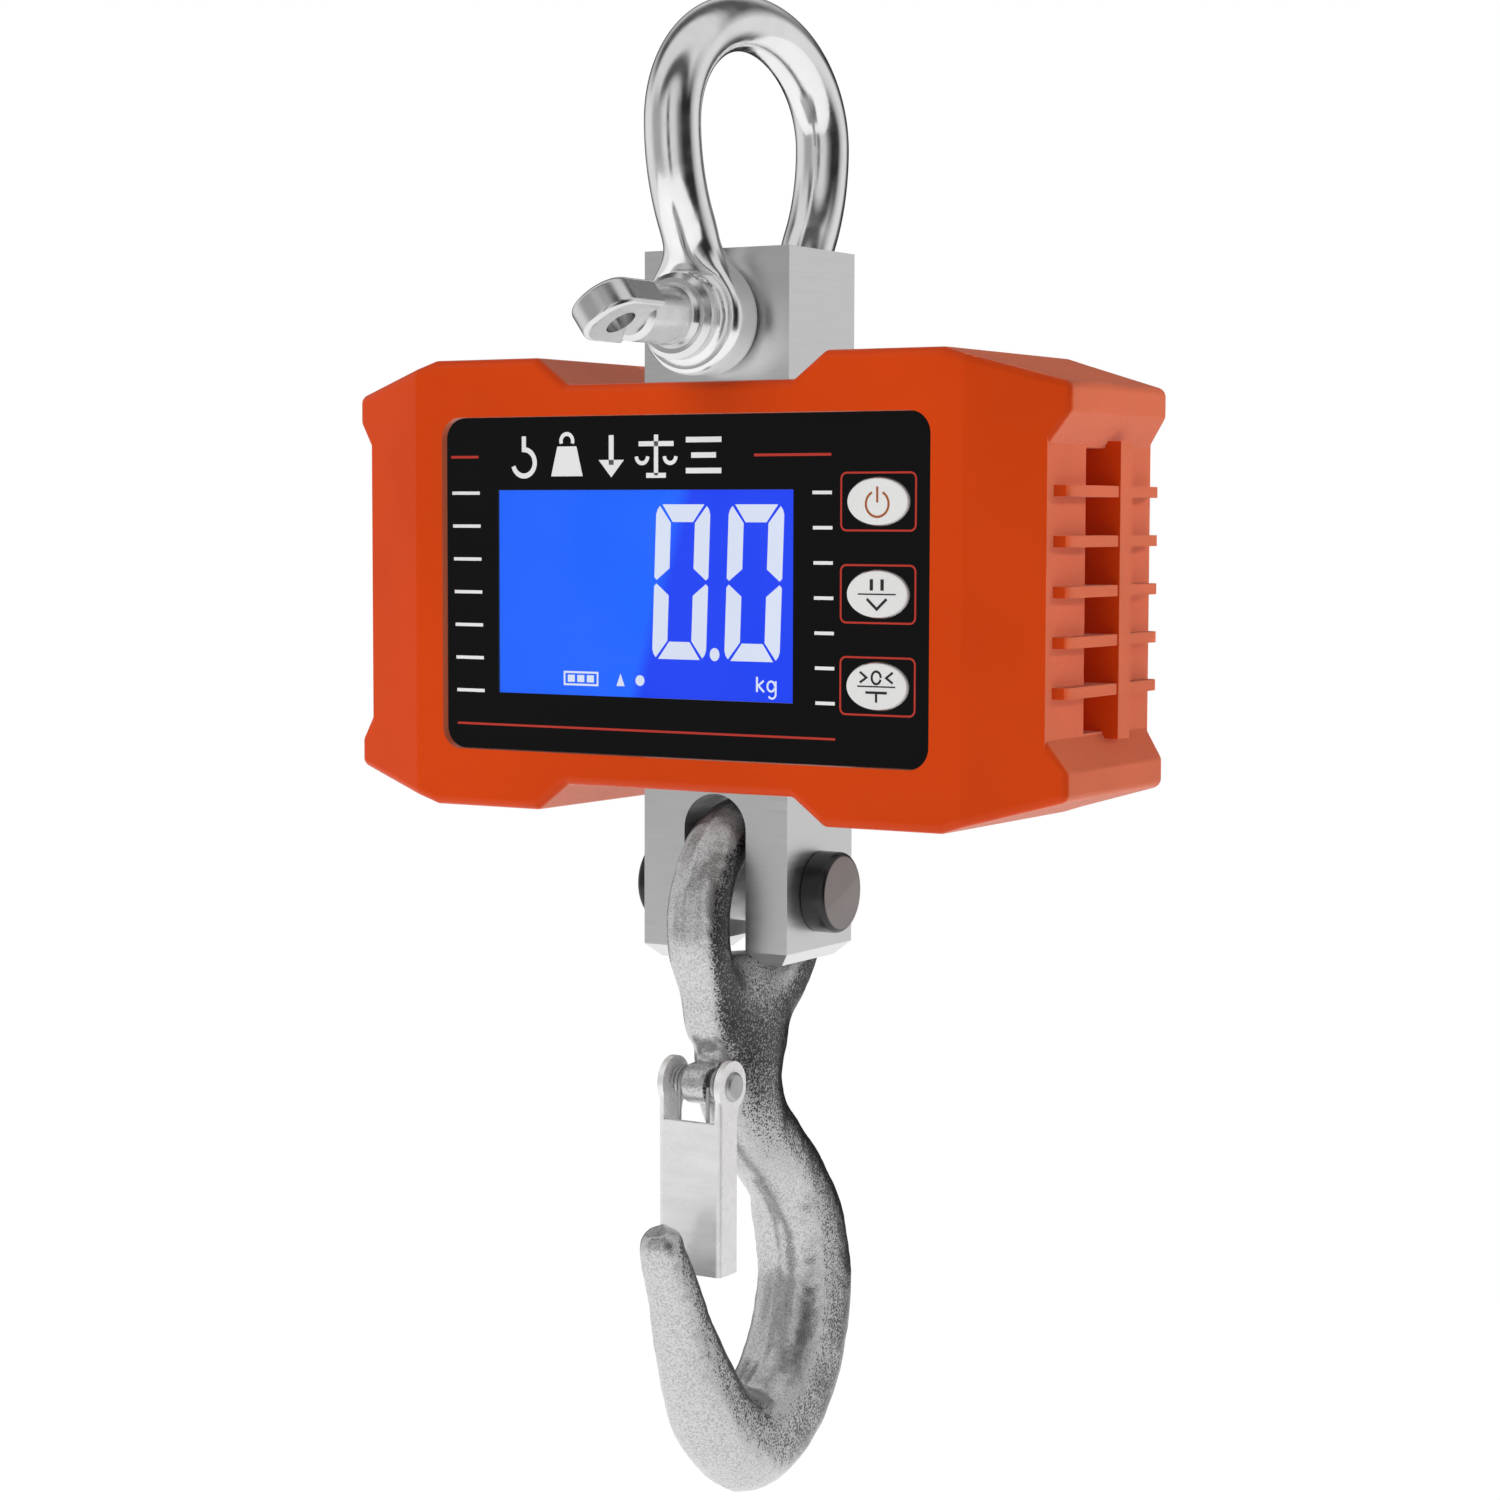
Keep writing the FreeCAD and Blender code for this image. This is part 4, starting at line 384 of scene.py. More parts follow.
def forged_zinc(name, colour, dark):
    """A grainy zinc skin, with painted shade: dark specks that close up towards one side of the object."""
    shade = Shade(name, 0.3, 0.82)
    grain = shade.noise(2000, 3, 0.6)
    blotch = shade.noise(70, 4, 0.6)
    specks = shade.remap(grain, -1.65, 0.15, 0.38, 0.62)
    back = shade.facing(*DARK_BACK)
    side = shade.facing(*DARK_SIDE)
    high = shade.across((0, 0, 1), *DARK_HEIGHTS)
    # Painted shade: the back faces, and the side faces high up, are darkened as if out of the light; the
    # specks fray its edge.
    painted_shade = shade.combine("MAXIMUM", back, shade.combine("MULTIPLY", side, high))
    share = shade.combine("ADD", shade.combine("MULTIPLY", painted_shade, DARK_DEPTH), specks)
    zinc = shade.ramp(grain, [(0.35, tint(colour, 0.7)), (0.5, colour), (0.66, tint(colour, 1.3))])
    shaded_zinc = shade.ramp(grain, [(0.35, tint(dark, 0.5)), (0.6, tint(dark, 2.0))])
    shade.colour(shade.blend(share, zinc, shaded_zinc))
    shade.roughen(blotch, 0.20, 0.34)
    shade.bump(grain, 0.4, 0.00016)
    shade.bump(blotch, 0.25, 0.0008)
    return shade.material


def bright_sheet(name, colour, roughness, metallic=1.0):
    """Pressed or turned steel with a drawn grain."""
    shade = Shade(name, roughness, metallic)
    grain = shade.noise(500, 3, 0.5, (0.15, 1, 1))
    shade.colour(shade.ramp(grain, [(0.3, tint(colour, 0.9)), (0.7, colour)]))
    shade.roughen(shade.noise(120, 4), roughness * 0.8, roughness * 1.5)
    shade.bump(shade.noise(160, 3), 0.15, 0.0003)
    return shade.material


def pin_cap_finish(name, colour, face):
    """Glossy black round the side, and a flat end face painted grey: a painted reflection on the black cap.
    """
    shade = Shade(name, 0.28)
    end = shade.facing((1, 0, 0), 0.93, 0.985, both=True)
    cloud = shade.noise(150, 3)
    round_side = shade.ramp(cloud, [(0.3, tint(colour, 0.8)), (0.7, colour)])
    # Painted reflection: the flat end faces are coloured grey, as they would look mirroring the bright
    # studio.
    end_reflection = shade.ramp(cloud, [(0.3, tint(face, 0.92)), (0.7, face)])
    shade.colour(shade.blend(end, round_side, end_reflection))
    return shade.material


def moulded(name, colour, roughness=0.42, texture=2600, depth=0.12, painted_sheen=None, **inputs):
    """Moulded plastic, lightly clouded, with an optional painted sheen: a paler tone on the faces turned
    sideways, standing in for light glancing off them.
    """
    shade = Shade(name, roughness, 0.0, **inputs)
    cloud = shade.noise(22, 3)
    tone = shade.ramp(cloud, [(0.35, tint(colour, 0.95)), (0.65, tint(colour, 1.04))])
    if painted_sheen:
        # Painted sheen: faces turned sideways get a paler tone, as light glancing off them would give.
        turned = shade.facing((0, 1, 0), 0.45, 0.15, both=True)
        sheen_tone = shade.ramp(cloud, [(0.35, tint(painted_sheen, 0.95)), (0.65, tint(painted_sheen, 1.04))])
        tone = shade.blend(turned, tone, sheen_tone)
    shade.colour(tone)
    shade.roughen(shade.noise(700, 4), roughness * 0.85, roughness * 1.2)
    shade.bump(shade.noise(texture, 2), depth, 0.00008)
    return shade.material


def clear_window(name):
    """A clear sheet with a faint cool tint and smudges."""
    shade = Shade(name, 0.03, 0.0, Alpha=0.04, IOR=1.45)
    smudge = shade.noise(40, 3)
    shade.colour(shade.ramp(smudge, [(0.4, (0.20, 0.32, 0.6)), (0.6, (0.28, 0.40, 0.7))]))
    shade.roughen(smudge, 0.02, 0.06)
    return shade.material


def lit(name, colour, strength, glare=None):
    """A lit screen with its own light: evenly clouded, or with a painted reflection, a glare that makes it
    lighter on one side of a slanted border. The glare gives the direction across the border, where it
    starts and ends, and the colour of the painted reflection beyond it."""
    shade = Shade(name, 0.4, Specular_IOR_Level=0.1)
    if glare:
        direction, start, end, glare_colour = glare
        # Painted reflection: the glare is a lighter tone in the screen's own light.
        field = shade.across(direction, start, end)
        stops = [(0.0, tint(colour, 0.92)), (0.82, colour), (0.88, glare_colour), (1.0, glare_colour)]
    else:
        field = shade.noise(26, 2)
        stops = [(0.3, tint(colour, 0.94)), (0.7, colour)]
    tone = shade.ramp(field, stops)
    shade.colour(shade.ramp(field, [(spot, tint(part, 0.15)) for spot, part in stops]))
    shade.link(tone, shade.shader.inputs["Emission Color"])
    shade.set("Emission Strength", strength)
    shade.material.cycles.emission_sampling = "NONE"
    return shade.material


# Painted reflection on the screen: a glare of lighter blue left of a slanted border: the direction across
# it, and where the change of tone starts and ends, in metres.
SCREEN_GLARE = ((1.0, 0.0, -0.2905), -0.025, 0.040, (0.003, 0.040, 0.86))
# The record holds colours as a display shows them.
DISPLAY_GAMMA = 2.2


def make_materials():
    """One material for each slot of the record, and the inks."""
    colours = {m["slot"]: tuple(m["base_color"][:3]) for m in frame["record"]["materials"]}
    made = {
        "shackle_steel": chrome("shackle_steel", (0.86, 0.86, 0.86), 0.15),
        "pin_steel": chrome("pin_steel", (0.76, 0.76, 0.76), 0.2),
        "cell_aluminium": satin_aluminium("cell_aluminium", (0.76, 0.76, 0.765)),
        "hook_steel": forged_zinc("hook_steel", (0.58, 0.58, 0.582), (0.03, 0.03, 0.031)),
        "latch_steel": bright_sheet("latch_steel", (0.95, 0.95, 0.955), 0.24, 0.35),
        "fastener_steel": bright_sheet("fastener_steel", (0.50, 0.50, 0.51), 0.3),
        "cross_pin_steel": bright_sheet("cross_pin_steel", (0.42, 0.42, 0.43), 0.3),
        "cap_black": pin_cap_finish("cap_black", (0.010, 0.010, 0.011), (0.24, 0.24, 0.24)),
        # The case's sideways faces carry a painted sheen.
        "case_orange": moulded("case_orange", (0.71, 0.059, 0.0014), 0.34, painted_sheen=(0.74, 0.15, 0.06),
                               Specular_IOR_Level=0.16),
        "panel_black": moulded("panel_black", (0.0012, 0.0012, 0.0015), 0.14, 300, 0.02,
                               Specular_IOR_Level=0.2),
        "window_clear": clear_window("window_clear"),
        "display_blue": lit("display_blue", (0.004, 0.118, 1.0), 0.95, SCREEN_GLARE),
        "button_white": moulded("button_white", (0.86, 0.86, 0.85), 0.3),
        "ink_white": moulded("ink_white", (0.9, 0.9, 0.9), 0.4),
        "bar_white": lit("bar_white", (0.78, 0.84, 1.0), 0.85),
        "ink_red": moulded("ink_red", (0.52, 0.028, 0.014), 0.4),
        "ink_amber": moulded("ink_amber", (0.38, 0.10, 0.018), 0.4),
        "ink_black": moulded("ink_black", (0.01, 0.01, 0.01), 0.4),
    }
    for name, colour in colours.items():
        if name not in made:
            made[name] = moulded(name, tuple(part ** DISPLAY_GAMMA for part in colour), 0.5)
    return made


# ---- pieces --------------------------------------------------------------------------

# Slots that the bright metal mirrors: it shows other metal and the white studio only.
MIRRORED = ("shackle_steel", "pin_steel", "cell_aluminium", "hook_steel", "latch_steel", "cap_black")


def new_piece(name, mesh, material, body, slot):
    """A piece that rides on a body, in the material given; its slot decides whether gloss shows it."""
    piece = bpy.data.objects.new(name, mesh)
    bpy.context.scene.collection.objects.link(piece)
    mesh.materials.clear()
    mesh.materials.append(material)
    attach(piece, body)
    piece.visible_glossy = slot in MIRRORED
    return piece


def shade_smooth(mesh):
    """Smooth shading on every face."""
    mesh.polygons.foreach_set("use_smooth", [True] * len(mesh.polygons))


def evaluated_mesh(item):
    """The item's mesh with its modifiers applied."""
    graph = bpy.context.evaluated_depsgraph_get()
    return bpy.data.meshes.new_from_object(item.evaluated_get(graph))


def blend_solids(name, parts, voxel, smoothing=0):
    """One closed skin over several overlapping solids, given as (points, faces) in mm."""
    points, faces = [], []
    for part_points, part_faces in parts:
        shift = len(points)
        points.extend(tuple(value * MM for value in point) for point in part_points)
        faces.extend(tuple(index + shift for index in face) for face in part_faces)
    mesh = bpy.data.meshes.new(name)
    mesh.from_pydata(points, [], faces)
    item = bpy.data.objects.new(name + "_blank", mesh)
    bpy.context.scene.collection.objects.link(item)
    skin = item.modifiers.new("skin", "REMESH")
    skin.mode = "VOXEL"
    skin.voxel_size = voxel * MM
    if smoothing:
        ease = item.modifiers.new("ease", "SMOOTH")
        ease.factor = 0.5
        ease.iterations = smoothing
    result = evaluated_mesh(item)
    bpy.data.objects.remove(item)
    result.name = name
    return result


def mesh_points(mesh):
    """The mesh's points in mm, as an array."""
    flat = np.empty(len(mesh.vertices) * 3)
    mesh.vertices.foreach_get("co", flat)
    return flat.reshape(-1, 3) / MM


def set_mesh_points(mesh, points):
    """Put a mesh's points at these places, given in mm."""
    mesh.vertices.foreach_set("co", (points * MM).ravel())
    mesh.update()


def relax(mesh, weights, rounds):
    """Draw each point towards the middle of its neighbours, by its weight."""
    ends = np.empty(len(mesh.edges) * 2, dtype=int)
    mesh.edges.foreach_get("vertices", ends)
    first, second = ends.reshape(-1, 2).T
    points = mesh_points(mesh)
    count = np.bincount(ends, minlength=len(points))[:, None]
    for _ in range(rounds):
        total = np.zeros_like(points)
        np.add.at(total, first, points[second])
        np.add.at(total, second, points[first])
        points += (total / count - points) * weights[:, None]
    set_mesh_points(mesh, points)


def tube(path, radii_u, radii_v, around, corners=None):
    """A closed tube along a path in the YZ plane: (points, faces). A section is an oval, or
    a softened block where the corner power is over 2; each place on the path has one power
    for its left and one for its right."""
    points, faces = [], []
    count = len(path)
    for index, (y, z) in enumerate(path):
        before = path[max(index - 1, 0)]
        after = path[min(index + 1, count - 1)]
        run = math.hypot(after[0] - before[0], after[1] - before[1])
        across = (-(after[1] - before[1]) / run, (after[0] - before[0]) / run)
        for step in range(around):
            turn = 2 * math.pi * step / around
            cos, sin = math.cos(turn), math.sin(turn)
            corner = 2.0 if corners is None else corners[index][int(cos < 0)]
            u = math.copysign(abs(cos) ** (2 / corner), cos) * radii_u[index]
            v = math.copysign(abs(sin) ** (2 / corner), sin) * radii_v[index]
            points.append((v, y + across[0] * u, z + across[1] * u))
    for index in range(count - 1):
        for step in range(around):
            a = index * around + step
            b = index * around + (step + 1) % around
            faces.append((a, b, b + around, a + around))
    faces.append(tuple(range(around))[::-1])
    faces.append(tuple(range((count - 1) * around, count * around)))
    return points, faces


def lathe(profile, centre, axis, around):
    """A closed profile of (radius, offset) turned about an axis: (points, faces)."""
    points, faces = [], []
    count = len(profile)
    for step in range(around):
        turn = 2 * math.pi * step / around
        cos, sin = math.cos(turn), math.sin(turn)
        for radius, offset in profile:
            if axis == "x":
                local = (offset, radius * cos, radius * sin)
            else:
                local = (radius * cos, offset, radius * sin)
            points.append(tuple(a + b for a, b in zip(centre, local)))
    for step in range(around):
        for index in range(count):
            a = step * count + index
            b = step * count + (index + 1) % count
            c = ((step + 1) % around) * count
            faces.append((a, b, c + (index + 1) % count, c + index))
    return points, faces


# ---- shackle bow ---------------------------------------------------------------------

# In mm: the bar's radius; the crown's half width, its rise and the height it springs from;
# the ear's place (y, z), half thickness, radius and edges; the pin hole; the raised ring on
# each ear, whose top is measured from the ear's middle; and the groove round it.
ROD = 6.25
CROWN = (33.0, 25.0, -18.75)
EAR = (21.8, -61.0)
EAR_HALF = 6.3
EAR_RADIUS = 12.75
EAR_BEVEL = 2.0
EAR_ROUND = 3.4
HOLE_RADIUS = 6.7
RING_RADIUS = 9.5
RING_TOP = 6.9
RING_ROUND = 0.9
GROOVE_RADIUS = 10.9
GROOVE_DEPTH = 0.95
# How far above the ear's middle its flat cheeks begin to open, and where they end.
CHEEK_START = 9.0
CHEEK_TOP = 30.0
BOW_VOXEL = 0.42


def bow_path():
    """Centreline of the bow in the YZ plane: two S-shaped legs and an oval crown."""
    reach, rise, spring = CROWN
    inset = reach - EAR[0]
    drop = spring - EAR[1]
    radius = (inset ** 2 + drop ** 2) / (4 * inset)
    half = math.asin(drop / 2 / radius)
    leg = []
    for step in range(60):
        turn = half * step / 60
        leg.append((EAR[0] + radius * (1 - math.cos(turn)), EAR[1] + radius * math.sin(turn)))
    for step in range(60, 0, -1):
        turn = half * step / 60
        leg.append((reach - radius * (1 - math.cos(turn)), spring - radius * math.sin(turn)))
    crown = []
    for step in range(121):
        turn = math.pi * step / 120
        crown.append((reach * math.cos(turn), spring + rise * math.sin(turn)))
    leg = [spot for spot in leg if spot[1] > EAR[1] + 8.0]
    return leg + crown + [(-y, z) for y, z in reversed(leg)]


def soft_min(a, b, reach):
    """The smaller of two distances, rounded where they meet."""
    blend = np.maximum(reach - np.abs(a - b), 0) / reach
    return np.minimum(a, b) - blend * blend * reach / 4


def soft_max(a, b, reach):
    """The larger of two distances, rounded where they meet."""
    return -soft_min(-a, -b, reach)


def round_disc(offset, radius, centre, half, rim, rounding):
    """Signed distance to a disc with a rounded rim."""
    side = np.abs(offset - centre) - (half - rounding)
    out = radius - (rim - rounding)
    outside = np.hypot(np.maximum(side, 0), np.maximum(out, 0))
    return outside + np.minimum(np.maximum(side, out), 0) - rounding


def bow_field(points, path):
    """Signed distance to the finished bow: bar and ears melted into each other."""
    x, y, z = points.T
    line = np.array([(abs(v), w) for v, w in path[:len(path) // 2 + 1]])
    start, end = line[:-1], line[1:]
    run = end - start
    length = (run * run).sum(axis=1)
    spot = np.stack([np.abs(y), z], axis=1)
    best = np.full(len(points), np.inf)
    for first in range(0, len(points), 8000):
        part = spot[first:first + 8000, None, :] - start[None]
        share = np.clip((part * run[None]).sum(axis=2) / length, 0, 1)
        gap = part - share[..., None] * run[None]
        best[first:first + 8000] = np.sqrt((gap ** 2).sum(axis=2).min(axis=1))
    rod = np.hypot(best, x) - ROD
    offset = np.abs(y) - EAR[0]
    radius = np.hypot(x, z - EAR[1])
    disc = round_disc(offset, radius, 0.0, EAR_HALF, EAR_RADIUS, EAR_ROUND)
    ring = round_disc(offset, radius, RING_TOP / 2, RING_TOP / 2, RING_RADIUS, RING_ROUND)
    groove = GROOVE_DEPTH - np.hypot(radius - GROOVE_RADIUS, offset - EAR_HALF - 0.1)
    ear = soft_min(soft_max(disc, groove, 0.5), ring, 0.5)
    field = soft_min(rod, ear, 6.0)
    cheek = np.abs(offset) - (EAR_HALF + np.maximum(z - EAR[1] - CHEEK_START, 0) * 0.6)
    trimmed = soft_max(field, np.where(radius < RING_RADIUS + 0.1, field, cheek), 1.6)
    field = np.where(z < EAR[1] + CHEEK_TOP, trimmed, field)
    return soft_max(field, HOLE_RADIUS - radius, 0.6)


def settle(mesh, field, rounds=5):
    """Move a mesh's points onto the zero surface of a field."""
    points = mesh_points(mesh)
    step = 0.05
    for _ in range(rounds):
        value = field(points)
        slope = np.empty_like(points)
        for axis in range(3):
            shift = np.zeros(3)
            shift[axis] = step
            slope[:, axis] = (field(points + shift) - value) / step
        size = np.maximum(np.linalg.norm(slope, axis=1), 0.3)
        move = np.clip(value / size, -0.6, 0.6)
        points -= slope / size[:, None] * move[:, None]
    set_mesh_points(mesh, points)


def make_bow():
    """Polished bow, its bar flowing into each ear."""
    path = bow_path()
    count = len(path)
    bar = tube(path, [ROD] * count, [ROD] * count, 40)
    parts = [bar]
    for side in (-1, 1):
        profile = [(HOLE_RADIUS, -EAR_HALF), (EAR_RADIUS - EAR_BEVEL, -EAR_HALF),
                   (EAR_RADIUS, -EAR_HALF + EAR_BEVEL), (EAR_RADIUS, EAR_HALF - EAR_BEVEL),
                   (EAR_RADIUS - EAR_BEVEL, EAR_HALF), (RING_RADIUS, EAR_HALF),
                   (RING_RADIUS - 0.2, RING_TOP), (HOLE_RADIUS, RING_TOP)]
        turned = [(radius, offset * side) for radius, offset in profile]
        if side < 0:
            turned.reverse()
        parts.append(lathe(turned, (0, EAR[0] * side, EAR[1]), "y", 72))
    mesh = blend_solids("bow", parts, BOW_VOXEL)
    settle(mesh, lambda points: bow_field(points, path))
    low, high = (np.array(corner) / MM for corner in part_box("shackle_bow"))
    set_mesh_points(mesh, np.clip(mesh_points(mesh), low, high))
    shade_smooth(mesh)
    piece = new_piece("bow", mesh, materials["shackle_steel"], "shackle", "shackle_steel")
    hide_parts("shackle_bow")


# ---- hook ----------------------------------------------------------------------------

# Shank from the eye to the tip: centre (y, z), half width in the plane of the hook and
# half thickness along X, in mm.
HOOK_STATIONS = (
    (-2.0, -205.0, 9.0, 3.0), (-2.6, -213.0, 19.5, 6.0), (-3.0, -216.5, 21.6, 6.9),
    (-3.4, -220.5, 19.6, 7.5), (-3.4, -225.5, 16.4, 8.0), (-3.9, -230.0, 14.4, 8.4),
    (-3.6, -236.5, 12.2, 8.7), (0.6, -244.8, 10.6, 8.6), (8.6, -252.6, 10.0, 8.4),
    (17.4, -261.4, 10.6, 8.6), (24.4, -272.8, 12.3, 9.0), (27.5, -287.0, 14.2, 9.2),
    (24.5, -302.0, 15.0, 9.5), (15.0, -314.6, 14.2, 9.8), (0.0, -320.2, 12.2, 9.8),
    (-14.5, -312.5, 10.0, 9.0), (-23.5, -299.5, 8.1, 7.8), (-29.3, -287.0, 6.5, 6.5),
    (-33.2, -277.0, 5.6, 5.6), (-36.6, -270.0, 5.1, 5.1), (-38.2, -265.6, 4.6, 4.6),
    (-39.0, -263.2, 2.9, 2.9),
)
# The eye's height, inner and outer radius and half thickness; how square its section is.
EYE = (-197.05, 15.35, 28.55, 7.0)
EYE_POWER = 0.86
# How square the shank's section is towards its outer and its inner side.
OUTER_POWER = 2.15
INNER_POWER = 3.0
# The lug of the latch: pivot (y, z), radius, half thickness and the depth of its root.
PIVOT = (-20.3, -233.0)
LUG_RADIUS = 4.6
LUG_HALF = 3.1
LUG_ROOT = 12.0
HOOK_VOXEL = 0.55
# The parting line: how proud it stands and how wide it is.
PARTING = 0.22
PARTING_WIDTH = 0.9
# The stretch of the shank that the open latch straddles: middle height and half of it.
LATCH_REACH = (-244.0, 17.0)
# How far the skin keeps back from the latch, and from the fork above a height of the eye.
LATCH_GAP = 0.12
EYE_TOP_GAP = 0.12
EYE_TOP = -184.0
# Where the shank grows out of the eye: height, and half the height that is smoothed.
SHOULDER = (-216.0, 11.0)


def smooth_stations(stations, steps):
    """More stations on a smooth curve through the given ones."""
    rows = np.array(stations)
    padded = np.vstack([2 * rows[0] - rows[1], rows, 2 * rows[-1] - rows[-2]])
    result = []
    for index in range(1, len(padded) - 2):
        p0, p1, p2, p3 = padded[index - 1:index + 3]
        for step in range(steps):
            t = step / steps
            result.append(0.5 * (2 * p1 + (p2 - p0) * t + (2 * p0 - 5 * p1 + 4 * p2 - p3) * t ** 2
                                 + (3 * p1 - p0 - 3 * p2 + p3) * t ** 3))
    result.append(padded[-2])
    return np.array(result)


def block_points(low, high):
    """The corners and faces of a block, for the skin to take in."""
    points = [(x, y, z) for x in (low[0], high[0]) for y in (low[1], high[1]) for z in (low[2], high[2])]
    faces = [(0, 1, 3, 2), (4, 6, 7, 5), (0, 4, 5, 1), (2, 3, 7, 6), (0, 2, 6, 4), (1, 5, 7, 3)]
    return points, faces


def make_hook():
    """Drop-forged hook: soft edges, a parting line round its rim and a grainy skin."""
    rows = smooth_stations(HOOK_STATIONS, 6)
    latched = 1 - np.clip((np.abs(rows[:, 1] - LATCH_REACH[0]) - LATCH_REACH[1]) / 6, 0, 1)
    powers = np.column_stack([np.full(len(rows), OUTER_POWER), INNER_POWER - latched])
    shank = tube([(row[0], row[1]) for row in rows], rows[:, 2], rows[:, 3], 48, powers)
    drop, inner, outer, half = EYE
    middle = (inner + outer) / 2
    wide = (outer - inner) / 2
    section = []
    for step in range(40):
        turn = 2 * math.pi * step / 40
        cos, sin = math.cos(turn), math.sin(turn)
        section.append((middle + math.copysign(abs(cos) ** EYE_POWER, cos) * wide,
                        math.copysign(abs(sin) ** EYE_POWER, sin) * half))
    eye = lathe(section, (0, 0, drop), "x", 120)
    lug_rim = [(0.01, -LUG_HALF), (LUG_RADIUS, -LUG_HALF), (LUG_RADIUS, LUG_HALF), (0.01, LUG_HALF)]
    lug = lathe(lug_rim, (0, *PIVOT), "x", 40)
    web = block_points((-LUG_HALF, PIVOT[0], PIVOT[1] - LUG_RADIUS),
                       (LUG_HALF, PIVOT[0] + LUG_ROOT, PIVOT[1] + LUG_RADIUS))
    mesh = blend_solids("hook_forging", [shank, eye, lug, web], HOOK_VOXEL, 4)
    points = mesh_points(mesh)
    away = np.abs(points[:, 2] - SHOULDER[0]) / SHOULDER[1]
    relax(mesh, 0.9 * np.clip(1 - away ** 2, 0, 1), 60)
    points = mesh_points(mesh)
    normals = np.array([vertex.normal[:] for vertex in mesh.vertices])
    pivot_gap = np.hypot(points[:, 1] - PIVOT[0], points[:, 2] - PIVOT[1])
    calm = np.clip((np.maximum(pivot_gap - 30, points[:, 1] - 1)) / 4, 0, 1)
    in_plane = 1 - np.abs(normals[:, 0])
    parting = PARTING * np.exp(-(points[:, 0] / PARTING_WIDTH) ** 2) * np.clip(in_plane * 3 - 1.6, 0, 1)
    swell = np.array([noise.noise(Vector(point) * 0.11) * 0.28 + noise.noise(Vector(point) * 0.42) * 0.10
                      for point in points])
    rim = np.hypot(points[:, 1], points[:, 2] - drop)
    outside = np.clip((rim - inner - 1.5) / 3, 0, 1)
    proud = (parting + swell - 0.12) * calm * outside
    top = np.clip((points[:, 2] - EYE_TOP) / 8, 0, 1)
    back = EYE_TOP_GAP * top + LATCH_GAP * (1 - calm) * (pivot_gap > 6)
    points += normals * (proud - back)[:, None]
    low, high = (np.array(corner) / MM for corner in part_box("hook_body"))
    set_mesh_points(mesh, np.clip(points, low, high))
    shade_smooth(mesh)
    piece = new_piece("hook_forging", mesh, materials["hook_steel"], "hook", "hook_steel")
    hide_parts("hook_body")


# ---- panel print, screen and button symbols ------------------------------------------

def stroke(points, width, closed=False):
    """Quads of a line of even width through (x, z) points, its corners mitred."""
    count = len(points)
    rows = []
    for index, (x, z) in enumerate(points):
        before = points[index - 1] if closed or index else None
        after = points[(index + 1) % count] if closed or index < count - 1 else None
        sides = []
        for near, far in ((before, (x, z)), ((x, z), after)):
            if near is not None and far is not None:
                run = math.hypot(far[0] - near[0], far[1] - near[1])
                sides.append((-(far[1] - near[1]) / run, (far[0] - near[0]) / run))
        nx = sum(side[0] for side in sides)
        nz = sum(side[1] for side in sides)
        size = math.hypot(nx, nz)
        nx, nz = nx / size, nz / size
        reach = width / 2 / max(nx * sides[0][0] + nz * sides[0][1], 0.3)
        rows.append(((x + nx * reach, z + nz * reach), (x - nx * reach, z - nz * reach)))
    quads = []
    for index in range(count if closed else count - 1):
        a, b = rows[index], rows[(index + 1) % count]
        quads.append((a[0], a[1], b[1], b[0]))
    return quads


def arc(x, z, radius, start, end, steps=24, tall=None):
    """Points on an arc, in degrees from +X towards +Z."""
    tall = radius if tall is None else tall
    spots = []
    for step in range(steps + 1):
        turn = math.radians(start + (end - start) * step / steps)
        spots.append((x + radius * math.cos(turn), z + tall * math.sin(turn)))
    return spots


def rounded_frame(left, right, low, high, radius):
    """The outline of a block with rounded corners."""
    spots = []
    for x, z, start in ((right - radius, high - radius, 0), (left + radius, high - radius, 90),
                        (left + radius, low + radius, 180), (right - radius, low + radius, 270)):
        spots.extend(arc(x, z, radius, start, start + 90, 6))
    return spots


def dot(x, z, radius, tall=None):
    """The outline of a round or oval spot."""
    return [arc(x, z, radius, 0, 345, 23, tall)]


def print_piece(name, outlines, back, thickness, material, body, slot):
    """Printed or raised shapes: (x, z) outlines in mm standing on the plane y = back."""
    work = bmesh.new()
    for outline in outlines:
        corners = {}
        ring = []
        for x, z in outline:
            key = (round(x, 4), round(z, 4))
            if key not in corners:
                corners[key] = work.verts.new((x * MM, back * MM, z * MM))
            ring.append(corners[key])
        if len(set(ring)) > 2:
            work.faces.new(ring)
    bmesh.ops.remove_doubles(work, verts=work.verts, dist=1e-6)
    raised = bmesh.ops.extrude_face_region(work, geom=work.faces[:])
    lifted = [item for item in raised["geom"] if isinstance(item, bmesh.types.BMVert)]
    bmesh.ops.translate(work, verts=lifted, vec=(0, -thickness * MM, 0))
    bmesh.ops.recalc_face_normals(work, faces=work.faces)
    mesh = bpy.data.meshes.new(name)
    work.to_mesh(mesh)
    work.free()
    return new_piece(name, mesh, material, body, slot)


# In mm: how thick the print, the lit field and the clear sheet are, the faces the print
# stands on, a tick's width, and where the rows and the column of buttons are.
INK = 0.04
PANEL_FACE = -30.2
BUTTON_FACE = -30.8
SCREEN_DEPTH = 0.45
SHEET_DEPTH = 0.35
TICK = 0.75
TICK_PITCH = 7.56
TICK_TOP = -99.65
TITLE_ROW = -91.4
FOOT_ROW = -152.7
STATUS_ROW = -141.5
BUTTON_COLUMN = 50.2
# The digits: how far they lean for each unit of height, and their top and bottom.
DIGIT_SLANT = 0.034
DIGIT_TOP = -102.2
DIGIT_LOW = -136.5


